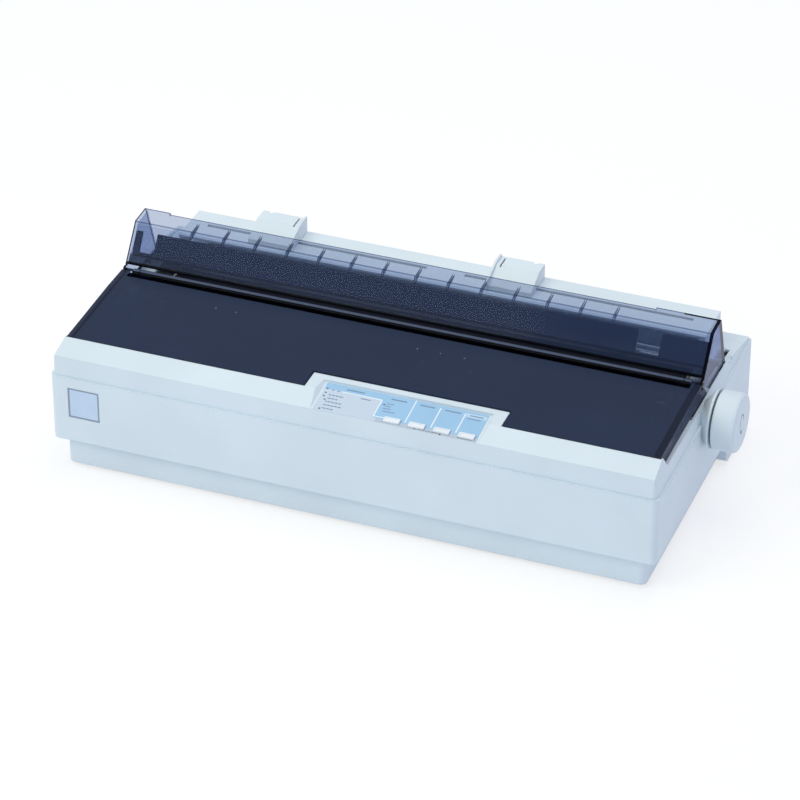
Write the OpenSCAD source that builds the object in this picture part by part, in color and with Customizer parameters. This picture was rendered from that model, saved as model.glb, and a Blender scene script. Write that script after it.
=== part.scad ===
// Wide-carriage dot matrix printer, with its cover, hood, platen, print head and tractors.
// The drawing frame has X = 0 at the middle of the casing, Y = 0 at its front face and
// Z = 0 at the floor. place() then moves every piece so that the origin lies under the
// middle of the whole object. Sizes are in millimetres.

/* [Casing] */
// Width of the casing
body_w = 546; // [530:1:570]
// Depth of the casing, front face to rear face
body_d = 272; // [272:1:290]
// Height of the joint between the lower and the upper casing
seam_z = 94; // [92:0.5:96]
// Thickness of the moulded walls
wall = 2.5; // [2:0.1:3]
// Corner radius of the casing seen from above
corner_r = 6; // [4:0.5:9]
// Radius of the rear corners of the casing, seen from above
rear_r = 3.4; // [3.2:0.1:6]
// Height of the rubber feet
foot_h = 4; // [3:0.5:6]
// Height of the underside of the wide part of the casing
step_z = 31; // [28:0.5:33]
// How far the base is set in at each side
base_side = 10; // [7:0.5:13]
// How far the base is set in at the front
base_front = 7; // [4:0.5:10]
// Length of the rear side skirts that reach down to the feet
skirt_len = 67; // [50:1:80]
// How far the upper casing is set in from the lower one
top_in = 2; // [1:0.25:3]
// Height of the crease along the front of the upper casing
crease_z = 113; // [111:0.5:114]
// Depth of the front beam, up to the edge of the cover
beam_d = 24; // [22:0.5:26]
// Height of the upper casing at the edge of the cover
beam_z = 120; // [119:0.25:121]
// Height of the side rails below the cover skirts
rail_z = 108; // [106:0.5:109]
// Height of the rear edge of the deck
deck_rear_z = 96.5; // [96:0.5:99]
// Radius of the round boss behind the platen knob
boss_r = 26; // [25.5:0.25:26.5]

/* [Control panel] */
// Left edge of the tab that carries the panel
tab_x0 = -46.5; // [-60:0.5:-40]
// Right edge of the tab
tab_x1 = 128.5; // [122:0.5:140]
// Rear edge of the tab
tab_y1 = 46; // [44:0.5:48]
// Left edge of the printed overlay
label_x0 = -31; // [-34:0.5:-28]
// Width of the printed overlay
label_w = 144.5; // [140:0.5:150]
// Length of the printed overlay along the slope
label_l = 35; // [32:0.5:36]
// Slope of the panel in degrees
panel_tilt = 8.5; // [8:0.25:9]
// Width of a panel button
button_w = 14; // [10:0.5:16]
// Length of a panel button along the slope
button_l = 5.6; // [4:0.2:7]
// Spacing of the panel buttons
button_pitch = 22; // [18:0.5:24]
// Travel of a panel button
button_travel = 1.2; // [0.6:0.1:1.4]

/* [Cover and hood] */
// How far the cover and the hood are set in from the sides of the casing
cover_in = 6.7; // [6.5:0.1:9]
// Thickness of the smoked plastic
skin = 2.2; // [1.8:0.1:2.6]
// Y of the hinge between cover and hood
hinge_y = 143; // [142:0.25:144]
// Height of the top of the cover at its hinge
hinge_z = 124; // [123:0.25:125]
// Y of the crease on top of the hood
hood_crease_y = 169; // [167:0.5:171]
// Height of the hood at its crease
hood_crease_z = 156.6; // [154:0.2:158]
// Y of the rear edge of the hood
hood_rear_y = 190.5; // [188:0.5:192]
// Height of the top of the hood
hood_top_z = 158; // [157:0.2:160]
// Y of the lower rear corner of the hood sides
hood_foot_y = 209; // [208:0.5:210]
// Spacing of the ribs inside the hood
hood_rib_pitch = 30; // [24:1:32]
// Number of ribs inside the hood
hood_ribs = 14; // [10:1:14]

/* [Paper feed] */
// Y of the platen axis
platen_y = 141.5; // [141:0.1:142]
// Height of the platen axis
platen_z = 91.5; // [91:0.1:92]
// Radius of the platen roller
platen_r = 16; // [15:0.1:16.2]
// Distance from each end of the platen roller to the outer face of the frame
platen_in = 18; // [17:0.5:28]
// Radius of the platen shaft
shaft_r = 5; // [4:0.1:5.2]
// Radius of the platen knob
knob_r = 26; // [22:0.5:26.5]
// How far the platen knob stands out from the side of the casing
knob_out = 29; // [25:0.5:32]
// Width of a gear
gear_w = 5; // [4:0.2:5.4]
// Gear module, pitch diameter over teeth
gear_m = 0.8; // [0.8:0.1:0.8]
// How far the frame side plates are set in from the sides of the casing
frame_in = 33; // [32.6:0.2:34]
// Thickness of the steel frame
steel = 1.6; // [1.2:0.1:2]

/* [Tractors] */
// Distance from the tractor drive shaft to the rear face of the casing
tractor_in = 44; // [43.8:0.1:44.4]
// Width of the square tractor drive shaft
square_w = 6; // [5:0.1:6.4]
// Distance of each tractor from the middle
tractor_x = 165; // [140:1:180]
// Width of a tractor
tractor_w = 18; // [16:0.5:20]

/* [Paper guide] */
// How far the paper guide is set in from the sides of the casing
guide_in = 27; // [26:0.5:33]
// Distance from the rear edge of the paper guide to the rear face of the casing
guide_rear_in = 10; // [8:0.5:14]
// Height of the top of the paper guide
guide_z = 121.6; // [119:0.2:122]
// Width of an edge guide
edge_w = 42; // [34:0.5:48]
// Height of an edge guide above the paper guide
edge_h = 13.5; // [10:0.5:15]
// X of the middle of the left edge guide
edge_left_x = -161; // [-180:1:-120]
// X of the middle of the right edge guide
edge_right_x = 64; // [40:1:120]

/* [Carriage] */
// X of the carriage at rest
carriage_x = 45; // [-100:1:100]
// Width of the carriage
carriage_w = 48; // [40:1:50]
// Y of the carriage guide shaft
guide_shaft_y = 92; // [91:0.5:93]
// Height of the carriage guide shaft
guide_shaft_z = 68; // [67:0.5:68.5]
// Radius of the carriage guide shaft
guide_shaft_r = 5; // [4:0.1:5.4]
// Radius of the print head
head_r = 20; // [17:0.5:21]
// Distance from each belt pulley to the outer face of the frame
pulley_in = 25; // [24:0.5:28]
// Y of the belt pulleys
pulley_y = 62; // [61:0.25:63]
// Radius of the belt pulleys
pulley_r = 6; // [5:0.1:6.4]

/* [Hidden] */

hw = body_w / 2;
eps = 0.01;
gap = 0.3;          // between pieces of different bodies
run = 0.05;         // radial clearance of a running fit
rear_proud = 3;     // how far the rear connectors stand out
cover_hw = hw - cover_in;
frame_hw = hw - frame_in;
guide_hw = hw - guide_in;
guide_rear_y = body_d - guide_rear_in;
knob_x1 = hw + knob_out;
platen_hl = frame_hw - platen_in;
pulley_x = frame_hw - pulley_in;
tractor_y = body_d - tractor_in;
mid_x = (knob_x1 - hw) / 2;
mid_y = (body_d + rear_proud) / 2;

module place() translate([-mid_x, -mid_y, 0]) children();
module both() for (s = [0, 1]) mirror([s, 0, 0]) children();

// A (Y, Z) outline extruded along X, and an (X, Z) outline extruded along Y
module along_x(x0, x1) translate([x0, 0, 0]) rotate([90, 0, 90]) linear_extrude(x1 - x0) children();
module along_y(y0, y1) translate([0, y1, 0]) rotate([90, 0, 0]) linear_extrude(y1 - y0) children();
module rod_x(x0, x1, y, z, r) translate([x0, y, z]) rotate([0, 90, 0]) cylinder(r = r, h = x1 - x0, $fn = 48);
module rod_y(y0, y1, x, z, r) translate([x, y1, z]) rotate([90, 0, 0]) cylinder(r = r, h = y1 - y0, $fn = 48);
module block(x0, x1, y0, y1, z0, z1) translate([x0, y0, z0]) cube([x1 - x0, y1 - y0, z1 - z0]);

// A rectangle with round corners, its corner at the origin
module round_rect(w, d, r) {
    translate([r, 0]) square([w - 2 * r, d]);
    translate([0, r]) square([w, d - 2 * r]);
    for (x = [r, w - r], y = [r, d - r]) translate([x, y]) circle(r, $fn = 32);
}

// Involute gear outline with n teeth; every flank has three steps
tooth_play = 0.16;
function inv_pt(rb, t, a) = let (c = a + t * 180 / PI)
    [rb * (cos(c) + t * sin(c)), rb * (sin(c) - t * cos(c))];
module gear_outline(n) {
    rp = gear_m * n / 2;
    rb = rp * cos(20);
    ra = rp + gear_m;
    rf = rp - 1.25 * gear_m;
    tp = sqrt(pow(rp / rb, 2) - 1);
    ta = sqrt(pow(ra / rb, 2) - 1);
    half = 90 / n - tooth_play / 2 / rp * 180 / PI;
    a0 = -half - (tp * 180 / PI - atan(tp));
    polygon([for (i = [0 : n - 1]) let (c = i * 360 / n)
        each [rf * [cos(c + a0 - 0.3), sin(c + a0 - 0.3)],
              for (k = [0 : 3]) inv_pt(rb, ta * k / 3, c + a0),
              for (k = [3 : -1 : 0]) let (p = inv_pt(rb, ta * k / 3, a0))
                  [p[0] * cos(c) + p[1] * sin(c), p[0] * sin(c) - p[1] * cos(c)],
              rf * [cos(c - a0 + 0.3), sin(c - a0 + 0.3)]]]);
}
// A gear across X whose first tooth points at the angle start from +Y towards +Z
module gear_x(n, y, z, x0, w, start, bore) difference() {
    translate([x0, y, z]) rotate([90, 0, 90]) rotate([0, 0, start]) linear_extrude(w) difference() {
        gear_outline(n);
        circle(bore, $fn = 48);
    }
}

// hinge of the cover, hinge of the hood, and the ledge below the front edge of the cover
barrel_r = 2;
pivot_z = hinge_z - barrel_r;
pin_r = 1.2;
lug_r = 3.2;                        // eye of the hood round the pin of the cover
cover_y0 = beam_d + 0.5;
tab_gap = 1;
skirt_low = rail_z + 0.4;
rail_y = hinge_y - 35;              // where the side rails step down towards the hood
cover_crease_y = rail_y;            // shallow crease across the cover
crease_rise = 0.9;
trough_y0 = hinge_y - 14;           // the dark trough in front of the hinge lip
trough_y1 = hinge_y - 6;
trough_z = pivot_z - 3;
rim_w = 8.3;                        // width of the rims at both ends of the trough
lip_hw = cover_hw - 16.8;           // the lip of the hinge stops short of them
cover_pitch = atan((hinge_z - beam_z - 0.6) / (hinge_y - beam_d));
hood_pivot_y = hood_foot_y - 5;
hood_pivot_z = 104;
hood_pin_r = 2;
hood_low = 105.5;                   // lower edge of the hood sides
ledge_z = cover_top(cover_y0) - skin - gap;

/* ---------- lower casing ---------- */
foot_r = 9;
foot_at = [[-hw + base_side + 18, base_front + 16], [hw - base_side - 18, base_front + 16],
           [-hw + base_side + 18, body_d - 22], [hw - base_side - 18, body_d - 22]];
screw_x = hw - 15;
screw_at = [[-screw_x, 20], [screw_x, 20], [-screw_x, body_d - 18], [screw_x, body_d - 18]];
frame_y0 = 38;
frame_y1 = tractor_y - 6;
post_x = frame_hw - 50;             // the posts that carry the mechanism frame
post_y = [frame_y0 + 22, frame_y1 - 16];
post_at = [for (x = [-post_x, post_x], y = post_y) [x, y]];
frame_z = 36;                       // underside of the frame's floor
board_z = foot_h + wall + 6;        // underside of the circuit boards
board_x = [-210, -90, 20, 120];     // the posts of the main board and of the power board
board_y = [90, 180];
board_rim = 6;                      // from a post to the edge of its board
badge = [-hw + 16.5, 55, 29, 29.5];     // x, z, width and height of the badge
boss_screw_z = 76;
inlet = [-205, 44, 27, 20];         // x, z of the middle, width and height
port = [150, 52, 58, 17];
slot = [0, 52, 96, 24];
switch = [54, 62, 22, 14];          // y, z of the middle, length and height
switch_rim = 1;                     // thickness of the switch's rim, let into the wall
skirt_y = body_d - skirt_len;
boss_out = 6.8;                     // how far the boss behind the knob stands out
boss_ring = 1.8;                    // width of the ring at its end
boss_root = 14;                     // radius of the cone behind it at its foot

module base_plan(inset) round_rect_at(-hw + base_side + inset, base_front + inset,
    hw - base_side - inset, body_d - inset, corner_r - inset);
module body_plan(inset) case_plan(hw - inset, inset, body_d - inset, corner_r - inset, rear_r - inset);
// The casing seen from above: half width x, front corners of radius r, rear ones of radius q
module case_plan(x, y0, y1, r, q) {
    translate([-x + r, y0]) square([2 * (x - r), r + 1]);
    translate([-x, y0 + r]) square([2 * x, y1 - y0 - r - q]);
    translate([-x + q, y1 - q - 1]) square([2 * (x - q), q + 1]);
    for (s = [-1, 1]) {
        translate([s * (x - r), y0 + r]) circle(r, $fn = 32);
        translate([s * (x - q), y1 - q]) circle(q, $fn = 32);
    }
}
module round_rect_at(x0, y0, x1, y1, r) translate([x0, y0]) round_rect(x1 - x0, y1 - y0, r);

// The boss behind the knob: a cone out of the side of the casing that ends in a ring
module knob_boss() translate([0, platen_y, platen_z]) rotate([0, 90, 0]) {
    translate([0, 0, hw - 5])
        cylinder(r1 = boss_root, r2 = boss_r - 0.5, h = boss_out - boss_ring + 5, $fn = 96);
    translate([0, 0, hw + boss_out - boss_ring - 0.1]) cylinder(r = boss_r, h = boss_ring + 0.1, $fn = 96);
}
module skirt_outline(inset) {
    r = 8 - inset;
    y0 = skirt_y + inset;
    z0 = foot_h + inset;
    translate([y0 + r, z0 + r]) circle(r, $fn = 32);
    translate([y0 + r, z0]) square([body_d - inset - y0 - r, step_z + wall + 1 - z0]);
    translate([y0, z0 + r]) square([r + 1, step_z + wall + 1 - z0 - r]);
}

module lower_case() place() color([0.80, 0.86, 0.92]) {
    difference() {
        union() {
            difference() {
                union() {
                    translate([0, 0, step_z]) linear_extrude(seam_z - step_z) body_plan(0);
                    translate([0, 0, foot_h]) linear_extrude(step_z - foot_h + 1) base_plan(0);
                    both() along_x(hw - base_side - wall - 1, hw) skirt_outline(0);
                }
                translate([0, 0, step_z + wall]) linear_extrude(seam_z) body_plan(wall);
                translate([0, 0, foot_h + wall]) linear_extrude(seam_z) base_plan(wall);
                both() along_x(hw - base_side - wall - 2, hw - wall) skirt_outline(wall);
            }
            intersection() {
                knob_boss();
                block(hw - wall, hw + boss_out + 1, 0, body_d, 0, seam_z);
            }
            for (p = screw_at) translate([p[0], p[1], foot_h + 1])
                cylinder(r = 5.5, h = seam_z - foot_h - 1, $fn = 32);
            for (p = post_at) translate([p[0], p[1], foot_h + 1])
                cylinder(r = 5, h = frame_z - foot_h - 1, $fn = 32);
            for (x = board_x, y = board_y) translate([x, y, foot_h + 1])
                cylinder(r = 3.5, h = board_z - foot_h - 1, $fn = 24);
        }
        for (p = screw_at) translate([p[0], p[1], 0]) {
            cylinder(r = 3.6, h = boss_screw_z, $fn = 32);
            cylinder(r = 2.1, h = seam_z + 1, $fn = 32);
        }
        // recess for the badge, and the openings at the rear and the left
        block(badge[0], badge[0] + badge[2], -1, 0.6, badge[1], badge[1] + badge[3]);
        block(inlet[0] - inlet[2] / 2, inlet[0] + inlet[2] / 2, body_d - wall - 1, body_d + 1,
              inlet[1] - inlet[3] / 2, inlet[1] + inlet[3] / 2);
        block(port[0] - port[2] / 2, port[0] + port[2] / 2, body_d - wall - 1, body_d + 1,
              port[1] - port[3] / 2, port[1] + port[3] / 2);
        block(slot[0] - slot[2] / 2, slot[0] + slot[2] / 2, body_d - wall - 1, body_d + 1,
              slot[1] - slot[3] / 2, slot[1] + slot[3] / 2);
        block(-hw - 1, -hw + wall + 1, switch[0] - switch[2] / 2, switch[0] + switch[2] / 2,
              switch[1] - switch[3] / 2, switch[1] + switch[3] / 2);
        block(-hw - 1, -hw + switch_rim, switch[0] - switch[2] / 2 - 1.8, switch[0] + switch[2] / 2 + 1.8,
              switch[1] - switch[3] / 2 - 1.8, switch[1] + switch[3] / 2 + 1.8);
        rod_x(hw - 20, hw + 10, platen_y, platen_z, shaft_r + 3);
        // cooling slots in the rear wall and in the floor
        for (i = [0 : 11]) block(-160 + i * 8, -157 + i * 8, body_d - wall - 1, body_d + 1, 42, 78);
        for (i = [0 : 15]) block(-60 + i * 8, -57 + i * 8, 120, 160, foot_h - 1, foot_h + wall + 1);
    }
}

module rubber_feet() place() color([0.16, 0.16, 0.18])
    for (p = foot_at) translate([p[0], p[1], 0]) rotate_extrude($fn = 40)
        polygon([[0, 0], [foot_r - 1, 0], [foot_r, 1], [foot_r, foot_h], [0, foot_h]]);

screw_len = 22;
module case_screws() place() color([0.72, 0.73, 0.75])
    for (p = screw_at) translate([p[0], p[1], boss_screw_z - 2.4]) difference() {
        union() {
            cylinder(r = 3.2, h = 2.4, $fn = 32);
            cylinder(r = 1.5, h = screw_len, $fn = 24);
        }
        translate([-0.5, -2, -1]) cube([1, 4, 1.8]);
        translate([-2, -0.5, -1]) cube([4, 1, 1.8]);
    }

module badge_plate() place() color([0.84, 0.88, 0.93]) difference() {
    block(badge[0] + 0.2, badge[0] + badge[2] - 0.2, 0.1, 0.6, badge[1] + 0.2, badge[1] + badge[3] - 0.2);
    block(badge[0] + 1.2, badge[0] + badge[2] - 1.2, 0, 0.25, badge[1] + 1.2, badge[1] + badge[3] - 1.2);
}

/* ---------- upper casing ---------- */
top_hw = hw - top_in;               // half width of the upper casing at the seam
side_lean = 3.4;                    // how far its sides lean in over the full height
rail_in = cover_hw - 9;             // inner edge of the rail flanges
deck_y0 = hood_foot_y + 3.5;        // front edge of the rear deck
deck_z0 = deck_rear_z + 7.5;        // height of the deck at its front edge
bay_y0 = beam_d + 3;                // front edge of the bay below the cover
flange_z = seam_z + 3;               // top of the flange below the hood
sill_z = rail_z - 1.6;              // height of the side wall beside the hood
sill_y0 = platen_y - 5;             // where it reaches that height
sill_y1 = hood_foot_y + 6;          // and where it runs into the deck
sill_drop = 5.4;                    // how far it slopes down to its outer face
mouth_hw = guide_hw - 14;           // half width of the paper mouth in the deck
mouth_y0 = deck_y0 + 2;
mouth_y1 = guide_rear_y;
release_x = frame_hw + 16;
release_y = tractor_y - 2;
release_z = 55;
lever_slot = [release_x - 1, release_x + 7, release_y - 12, release_y + 10];
ear_x = guide_hw + gap;             // the ears that carry the paper guide
ear_w = 4;
guide_pin_y = deck_y0 + 7.5;
guide_pin_z = deck_z0 + 6.5;
guide_pin_r = 2.5;
board_drop = 8;                     // depth of the panel board below the panel
button_x0 = label_x0 + label_w - 9.2 - 3 * button_pitch;   // the first button
button_y = 5;                       // middle of the buttons along the panel slope
knob_x0 = hw + boss_out + 1.7;      // inner face of the knob

// Places its children on the sloping panel: x as the casing, y up the slope, z out of it
module on_panel() translate([0, top_in + 0.5, crease_z]) rotate([panel_tilt, 0, 0]) children();

module beam_outline(inset) polygon([
    [top_in + inset, seam_z - (inset > 0 ? 1 : 0)], [top_in + 0.5 + inset, crease_z - inset * 0.8],
    [beam_d, beam_z - inset], [tab_y1 - inset, beam_z + 0.4 - inset],
    [tab_y1 - inset, seam_z - (inset > 0 ? 1 : 0)]]);
module side_outline() polygon([[top_in, seam_z], [top_in + 0.5, crease_z], [beam_d, beam_z],
    [beam_d + 2.5, beam_z - 0.4], [beam_d + 11, rail_z], [sill_y0, sill_z], [sill_y1, sill_z],
    [body_d - top_in, deck_rear_z], [body_d - top_in, seam_z]]);
module lean_outline() polygon([[-top_hw, seam_z], [top_hw, seam_z],
    [top_hw - side_lean, beam_z + 2], [-top_hw + side_lean, beam_z + 2]]);
module top_plan() case_plan(top_hw, top_in, body_d - top_in, corner_r - 1, rear_r - 1);
module top_envelope(height) intersection() {
    along_y(top_in, body_d - top_in) lean_outline();
    translate([0, 0, seam_z]) linear_extrude(height) top_plan();
}

module front_beam() difference() {
    along_x(-hw, hw) beam_outline(0);
    along_x(-hw + top_in + wall + 1.5, hw - top_in - wall - 1.5) difference() {
        beam_outline(wall);
        translate([beam_d - 4, beam_z - 5.5]) square([3, 10]);
    }
    // only the tab reaches back past the edge of the cover; a ledge carries the cover
    for (x = [[-hw - 1, tab_x0], [tab_x1, hw + 1]]) {
        block(x[0], x[1], beam_d, tab_y1 + 1, ledge_z, beam_z + 5);
        block(x[0], x[1], bay_y0, tab_y1 + 1, seam_z - 1, beam_z + 5);
    }
    for (x = [[-hw - 1, tab_x0 + wall], [tab_x1 - wall, hw + 1]])
        block(x[0], x[1], bay_y0, tab_y1 - wall, seam_z - 1, ledge_z - wall);
}
module rear_deck() difference() {
    along_x(-hw, hw) polygon([[deck_y0, seam_z], [deck_y0, deck_z0],
        [body_d - top_in, deck_rear_z], [body_d - top_in, seam_z]]);
    along_x(-hw + top_in + wall, hw - top_in - wall) polygon([[deck_y0 - 1, seam_z - 1],
        [deck_y0 - 1, deck_z0 - wall], [body_d - top_in - wall, deck_rear_z - wall + 0.6],
        [body_d - top_in - wall, seam_z - 1]]);
    block(-mouth_hw, mouth_hw, mouth_y0, mouth_y1, seam_z - 2, deck_z0 + 5);
    block(lever_slot[0], lever_slot[1], lever_slot[2], lever_slot[3], seam_z - 2, deck_z0 + 5);
}
module side_rail() {
    // the leaning side wall, and the flange that runs inwards below the cover skirt
    difference() {
        along_x(cover_hw + 0.7, top_hw) side_outline();
        along_y(platen_y + 2, sill_y1 + 4)
            polygon([[cover_hw + 0.6, sill_z + 0.1], [top_hw, sill_z - sill_drop],
            [top_hw + 1, sill_z - sill_drop], [top_hw + 1, sill_z + 30], [cover_hw + 0.6, sill_z + 30]]);
    }
    along_x(rail_in, cover_hw + 0.8) polygon([[beam_d - 1, rail_z - wall], [beam_d - 1, rail_z - 0.5],
        [rail_y, rail_z - 0.5], [rail_y + 4, flange_z], [deck_y0 + 1, flange_z], [deck_y0 + 1, seam_z],
        [rail_y + 3, seam_z], [rail_y - 1, rail_z - 0.5 - wall]]);
    along_x(rail_in, rail_in + wall) polygon([[beam_d - 1, seam_z], [beam_d - 1, rail_z - 1],
        [rail_y - 1, rail_z - 1], [rail_y + 3, flange_z - 1], [rail_y + 7, seam_z]]);
}
module guide_ear() difference() {
    along_x(ear_x, ear_x + ear_w) {
        translate([guide_pin_y, guide_pin_z]) circle(5, $fn = 40);
        translate([guide_pin_y - 5, deck_rear_z + 3]) square([10, guide_pin_z - deck_rear_z - 3]);
    }
    rod_x(ear_x - 1, ear_x + ear_w + 1, guide_pin_y, guide_pin_z, guide_pin_r + run);
}
module button_hole(clear) for (i = [0 : 3])
    translate([button_x0 + i * button_pitch - button_w / 2 - clear, button_y - button_l / 2 - clear, -6])
        cube([button_w + 2 * clear, button_l + 2 * clear, 12]);

module top_case() place() color([0.86, 0.91, 0.95]) difference() {
    union() {
        intersection() {
            union() {
                front_beam();
                rear_deck();
                both() side_rail();
                // the tray below the panel overlay
                intersection() {
                    along_x(tab_x0 + 1, tab_x1 - 1) beam_outline(0);
                    on_panel() translate([tab_x0 + 1, 0, -wall]) cube([tab_x1 - tab_x0 - 2, 45, 12]);
                }
            }
            top_envelope(40);
        }
        // the round boss that stands out behind the knob
        intersection() {
            knob_boss();
            block(hw - 8, hw + boss_out + 1, 0, body_d, seam_z, 200);
        }
        both() guide_ear();
        for (p = screw_at) translate([p[0], p[1], seam_z])
            cylinder(r = 4.5, h = p[1] < 100 ? 12 : 4.5, $fn = 32);
        // bosses that carry the panel board, and the pins of the hood
        on_panel() for (x = [label_x0 + 8, label_x0 + label_w - 8], y = [14, 28])
            translate([x, y, -board_drop + 1.4])
                cylinder(r = 2.5, h = board_drop - 1.4 - wall + 0.5, $fn = 24);
        both() rod_x(cover_hw - skin - 1.5, cover_hw + 1, hood_pivot_y, hood_pivot_z, hood_pin_r);
    }
    // the panel recess with sloping ends, and the button holes
    on_panel() intersection() {
        along_y(-6, label_l + 2) polygon([[label_x0 - 2, 0], [label_x0 + label_w + 2, 0],
            [label_x0 + label_w + 8, 8], [label_x0 - 10, 8]]);
        translate([-200, -6, 0]) cube([400, 60, 20]);
    }
    on_panel() button_hole(0.4);
    rod_x(hw - 20, hw + 10, platen_y, platen_z, shaft_r + 3);
    for (p = screw_at) translate([p[0], p[1], seam_z - 1])
        cylinder(r = 1.5 + run, h = p[1] < 100 ? 11 : 4.6, $fn = 24);
}

/* ---------- control panel ---------- */
module panel_overlay() place() color([0.66, 0.80, 0.92]) on_panel() difference() {
    translate([label_x0, 0.8, 0]) cube([label_w, label_l, 0.4]);
    button_hole(0.3);
}
module panel_board() place() color([0.16, 0.42, 0.25]) on_panel() {
    difference() {
        translate([label_x0 + 4, 2, -board_drop]) cube([label_w - 8, label_l - 5, 1.4]);
        translate([label_x0 + 40, label_l - 11, -board_drop - 1]) cube([12, 10, 4]);
    }
    for (i = [0 : 3]) translate([button_x0 + i * button_pitch - 3, button_y - 3, -board_drop + 1.4])
        cube([6, 6, board_drop - 1.4 - wall - button_travel - 1.8]);
    for (i = [0 : 3]) translate([label_x0 + 14, 9 + i * 6, -board_drop + 1.4])
        cylinder(r = 1.5, h = board_drop - 1.4 - wall, $fn = 20);
}
module panel_button(i) place() color([0.93, 0.95, 0.97]) on_panel()
    translate([button_x0 + i * button_pitch, button_y, 0]) {
        difference() {
            translate([-button_w / 2, -button_l / 2, -wall - 1]) cube([button_w, button_l, wall + 3]);
            translate([-button_w / 2 + 1.5, -button_l / 2 + 1.2, 1.7])
                cube([button_w - 3, button_l - 2.4, 1]);
        }
        translate([-button_w / 2 - 1, -button_l / 2, -wall - 1.7]) cube([button_w + 2, button_l + 1, 1]);
    }
module button_1() panel_button(0);
module button_2() panel_button(1);
module button_3() panel_button(2);
module button_4() panel_button(3);

/* ---------- mechanism frame and drive ---------- */
platen_teeth = 60;
idler_teeth = 40;
pinion_teeth = 12;
tractor_teeth = 45;
// the smallest link gear that reaches from the platen gear to the tractor gear
link_teeth = ceil(((tractor_y - platen_y) * 2 / gear_m - platen_teeth - tractor_teeth) / 2) + 1;
gear_x0 = frame_hw + 5;
idler_angle = -110;
pinion_angle = -30;
function mesh(a, b) = gear_m * (a + b) / 2;
idler_y = platen_y + mesh(platen_teeth, idler_teeth) * cos(idler_angle);
idler_z = platen_z + mesh(platen_teeth, idler_teeth) * sin(idler_angle);
pinion_y = idler_y + mesh(idler_teeth, pinion_teeth) * cos(pinion_angle);
pinion_z = idler_z + mesh(idler_teeth, pinion_teeth) * sin(pinion_angle);
// the link gear sits between the platen gear and the tractor gear, on one line
tractor_run = mesh(platen_teeth, link_teeth) + mesh(link_teeth, tractor_teeth);
tractor_angle = -acos((tractor_y - platen_y) / tractor_run);
tractor_z = platen_z + tractor_run * sin(tractor_angle);
link_y = platen_y + mesh(platen_teeth, link_teeth) * cos(tractor_angle);
link_z = platen_z + mesh(platen_teeth, link_teeth) * sin(tractor_angle);
tguide_y = tractor_y + 22;
tguide_z = 72;
tguide_r = 4;
stud_r = 3;
journal_r = 5;                      // ends of the square shaft, in the side plates
journal_play = 0.09;
roller_r = 6;
roller_angle = -75;
roller_y = platen_y + (platen_r + roller_r + gap) * cos(roller_angle);
roller_z = platen_z + (platen_r + roller_r + gap) * sin(roller_angle);
roller_shaft_r = 2.5;
gap_y = 102;
gap_z = 78;
gap_top = rail_z + 3;
rail_top = 80;
motor_w = 42;
motor_l = 33;

module side_plate_outline() difference() {
    polygon([[frame_y0, frame_z], [frame_y0, rail_top + 2], [frame_y0 + 22, rail_top + 4],
             [guide_shaft_y + 8, rail_top + 4], [platen_y - 21.5, platen_z + 14.5],
             [platen_y + 21.5, platen_z + 14.5], [platen_y + 34.5, platen_z + 4.5],
             [tractor_y + 12, platen_z + 0.5], [tguide_y + 8, tguide_z + 10],
             [tguide_y + 8, tguide_z - 10], [frame_y1, frame_z]]);
    translate([platen_y, platen_z]) circle(8, $fn = 48);
    translate([tractor_y, tractor_z]) circle(journal_r, $fn = 48);
    translate([tguide_y, tguide_z]) circle(tguide_r, $fn = 48);
    translate([roller_y, roller_z]) circle(roller_shaft_r + run, $fn = 40);
    translate([guide_shaft_y, guide_shaft_z]) circle(guide_shaft_r, $fn = 48);
    translate([pinion_y, pinion_z]) circle(pinion_teeth * gear_m / 2 + 2, $fn = 40);
    translate([tractor_y - 33, guide_shaft_z - 6]) round_rect(24, 20, 6);
    translate([frame_y0 + 22, frame_z + 12]) round_rect(44, 10, 4);
}
module mechanism_frame() place() color([0.74, 0.76, 0.78]) difference() {
    union() {
        block(-frame_hw, frame_hw, frame_y0, frame_y1, frame_z, frame_z + steel);
        both() along_x(frame_hw - steel, frame_hw) side_plate_outline();
        // studs that carry the gears and the levers
        rod_x(frame_hw - 1, gear_x0 + gear_w + 1, idler_y, idler_z, stud_r);
        rod_x(frame_hw - 1, gear_x0 + gear_w + 1, link_y, link_z, stud_r);
        rod_x(frame_hw - 1, release_x + 5, release_y, release_z, stud_r);
        mirror([1, 0, 0]) rod_x(frame_hw - 1, frame_hw + 9, gap_y, gap_z, stud_r);
    }
    block(frame_hw - steel - motor_l - 5.4, frame_hw - steel, pinion_y - motor_w / 2 - 1,
        pinion_y + motor_w / 2 + 1,
          frame_z - 1, frame_z + steel + 1);
    for (x = [-120, 0, 120]) translate([x - 30, 150, frame_z - 1]) linear_extrude(5) round_rect(60, 30, 6);
    for (p = post_at) translate([p[0], p[1], frame_z - 1]) cylinder(r = 2, h = 5, $fn = 24);
}
module carriage_guide_shaft() place() color([0.82, 0.83, 0.85])
    rod_x(-frame_hw - 1.5, frame_hw + 1.5, guide_shaft_y, guide_shaft_z, guide_shaft_r);
module tractor_guide_shaft() place() color([0.82, 0.83, 0.85])
    rod_x(-frame_hw - 1.5, frame_hw + 1.5, tguide_y, tguide_z, tguide_r);
module front_rail() place() color([0.70, 0.72, 0.74]) along_x(-frame_hw + steel, frame_hw - steel)
    polygon([[frame_y0, frame_z + steel], [frame_y0, rail_top], [frame_y0 + 12, rail_top],
             [frame_y0 + 12, rail_top - steel], [frame_y0 + steel, rail_top - steel],
             [frame_y0 + steel, frame_z + steel]]);
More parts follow.
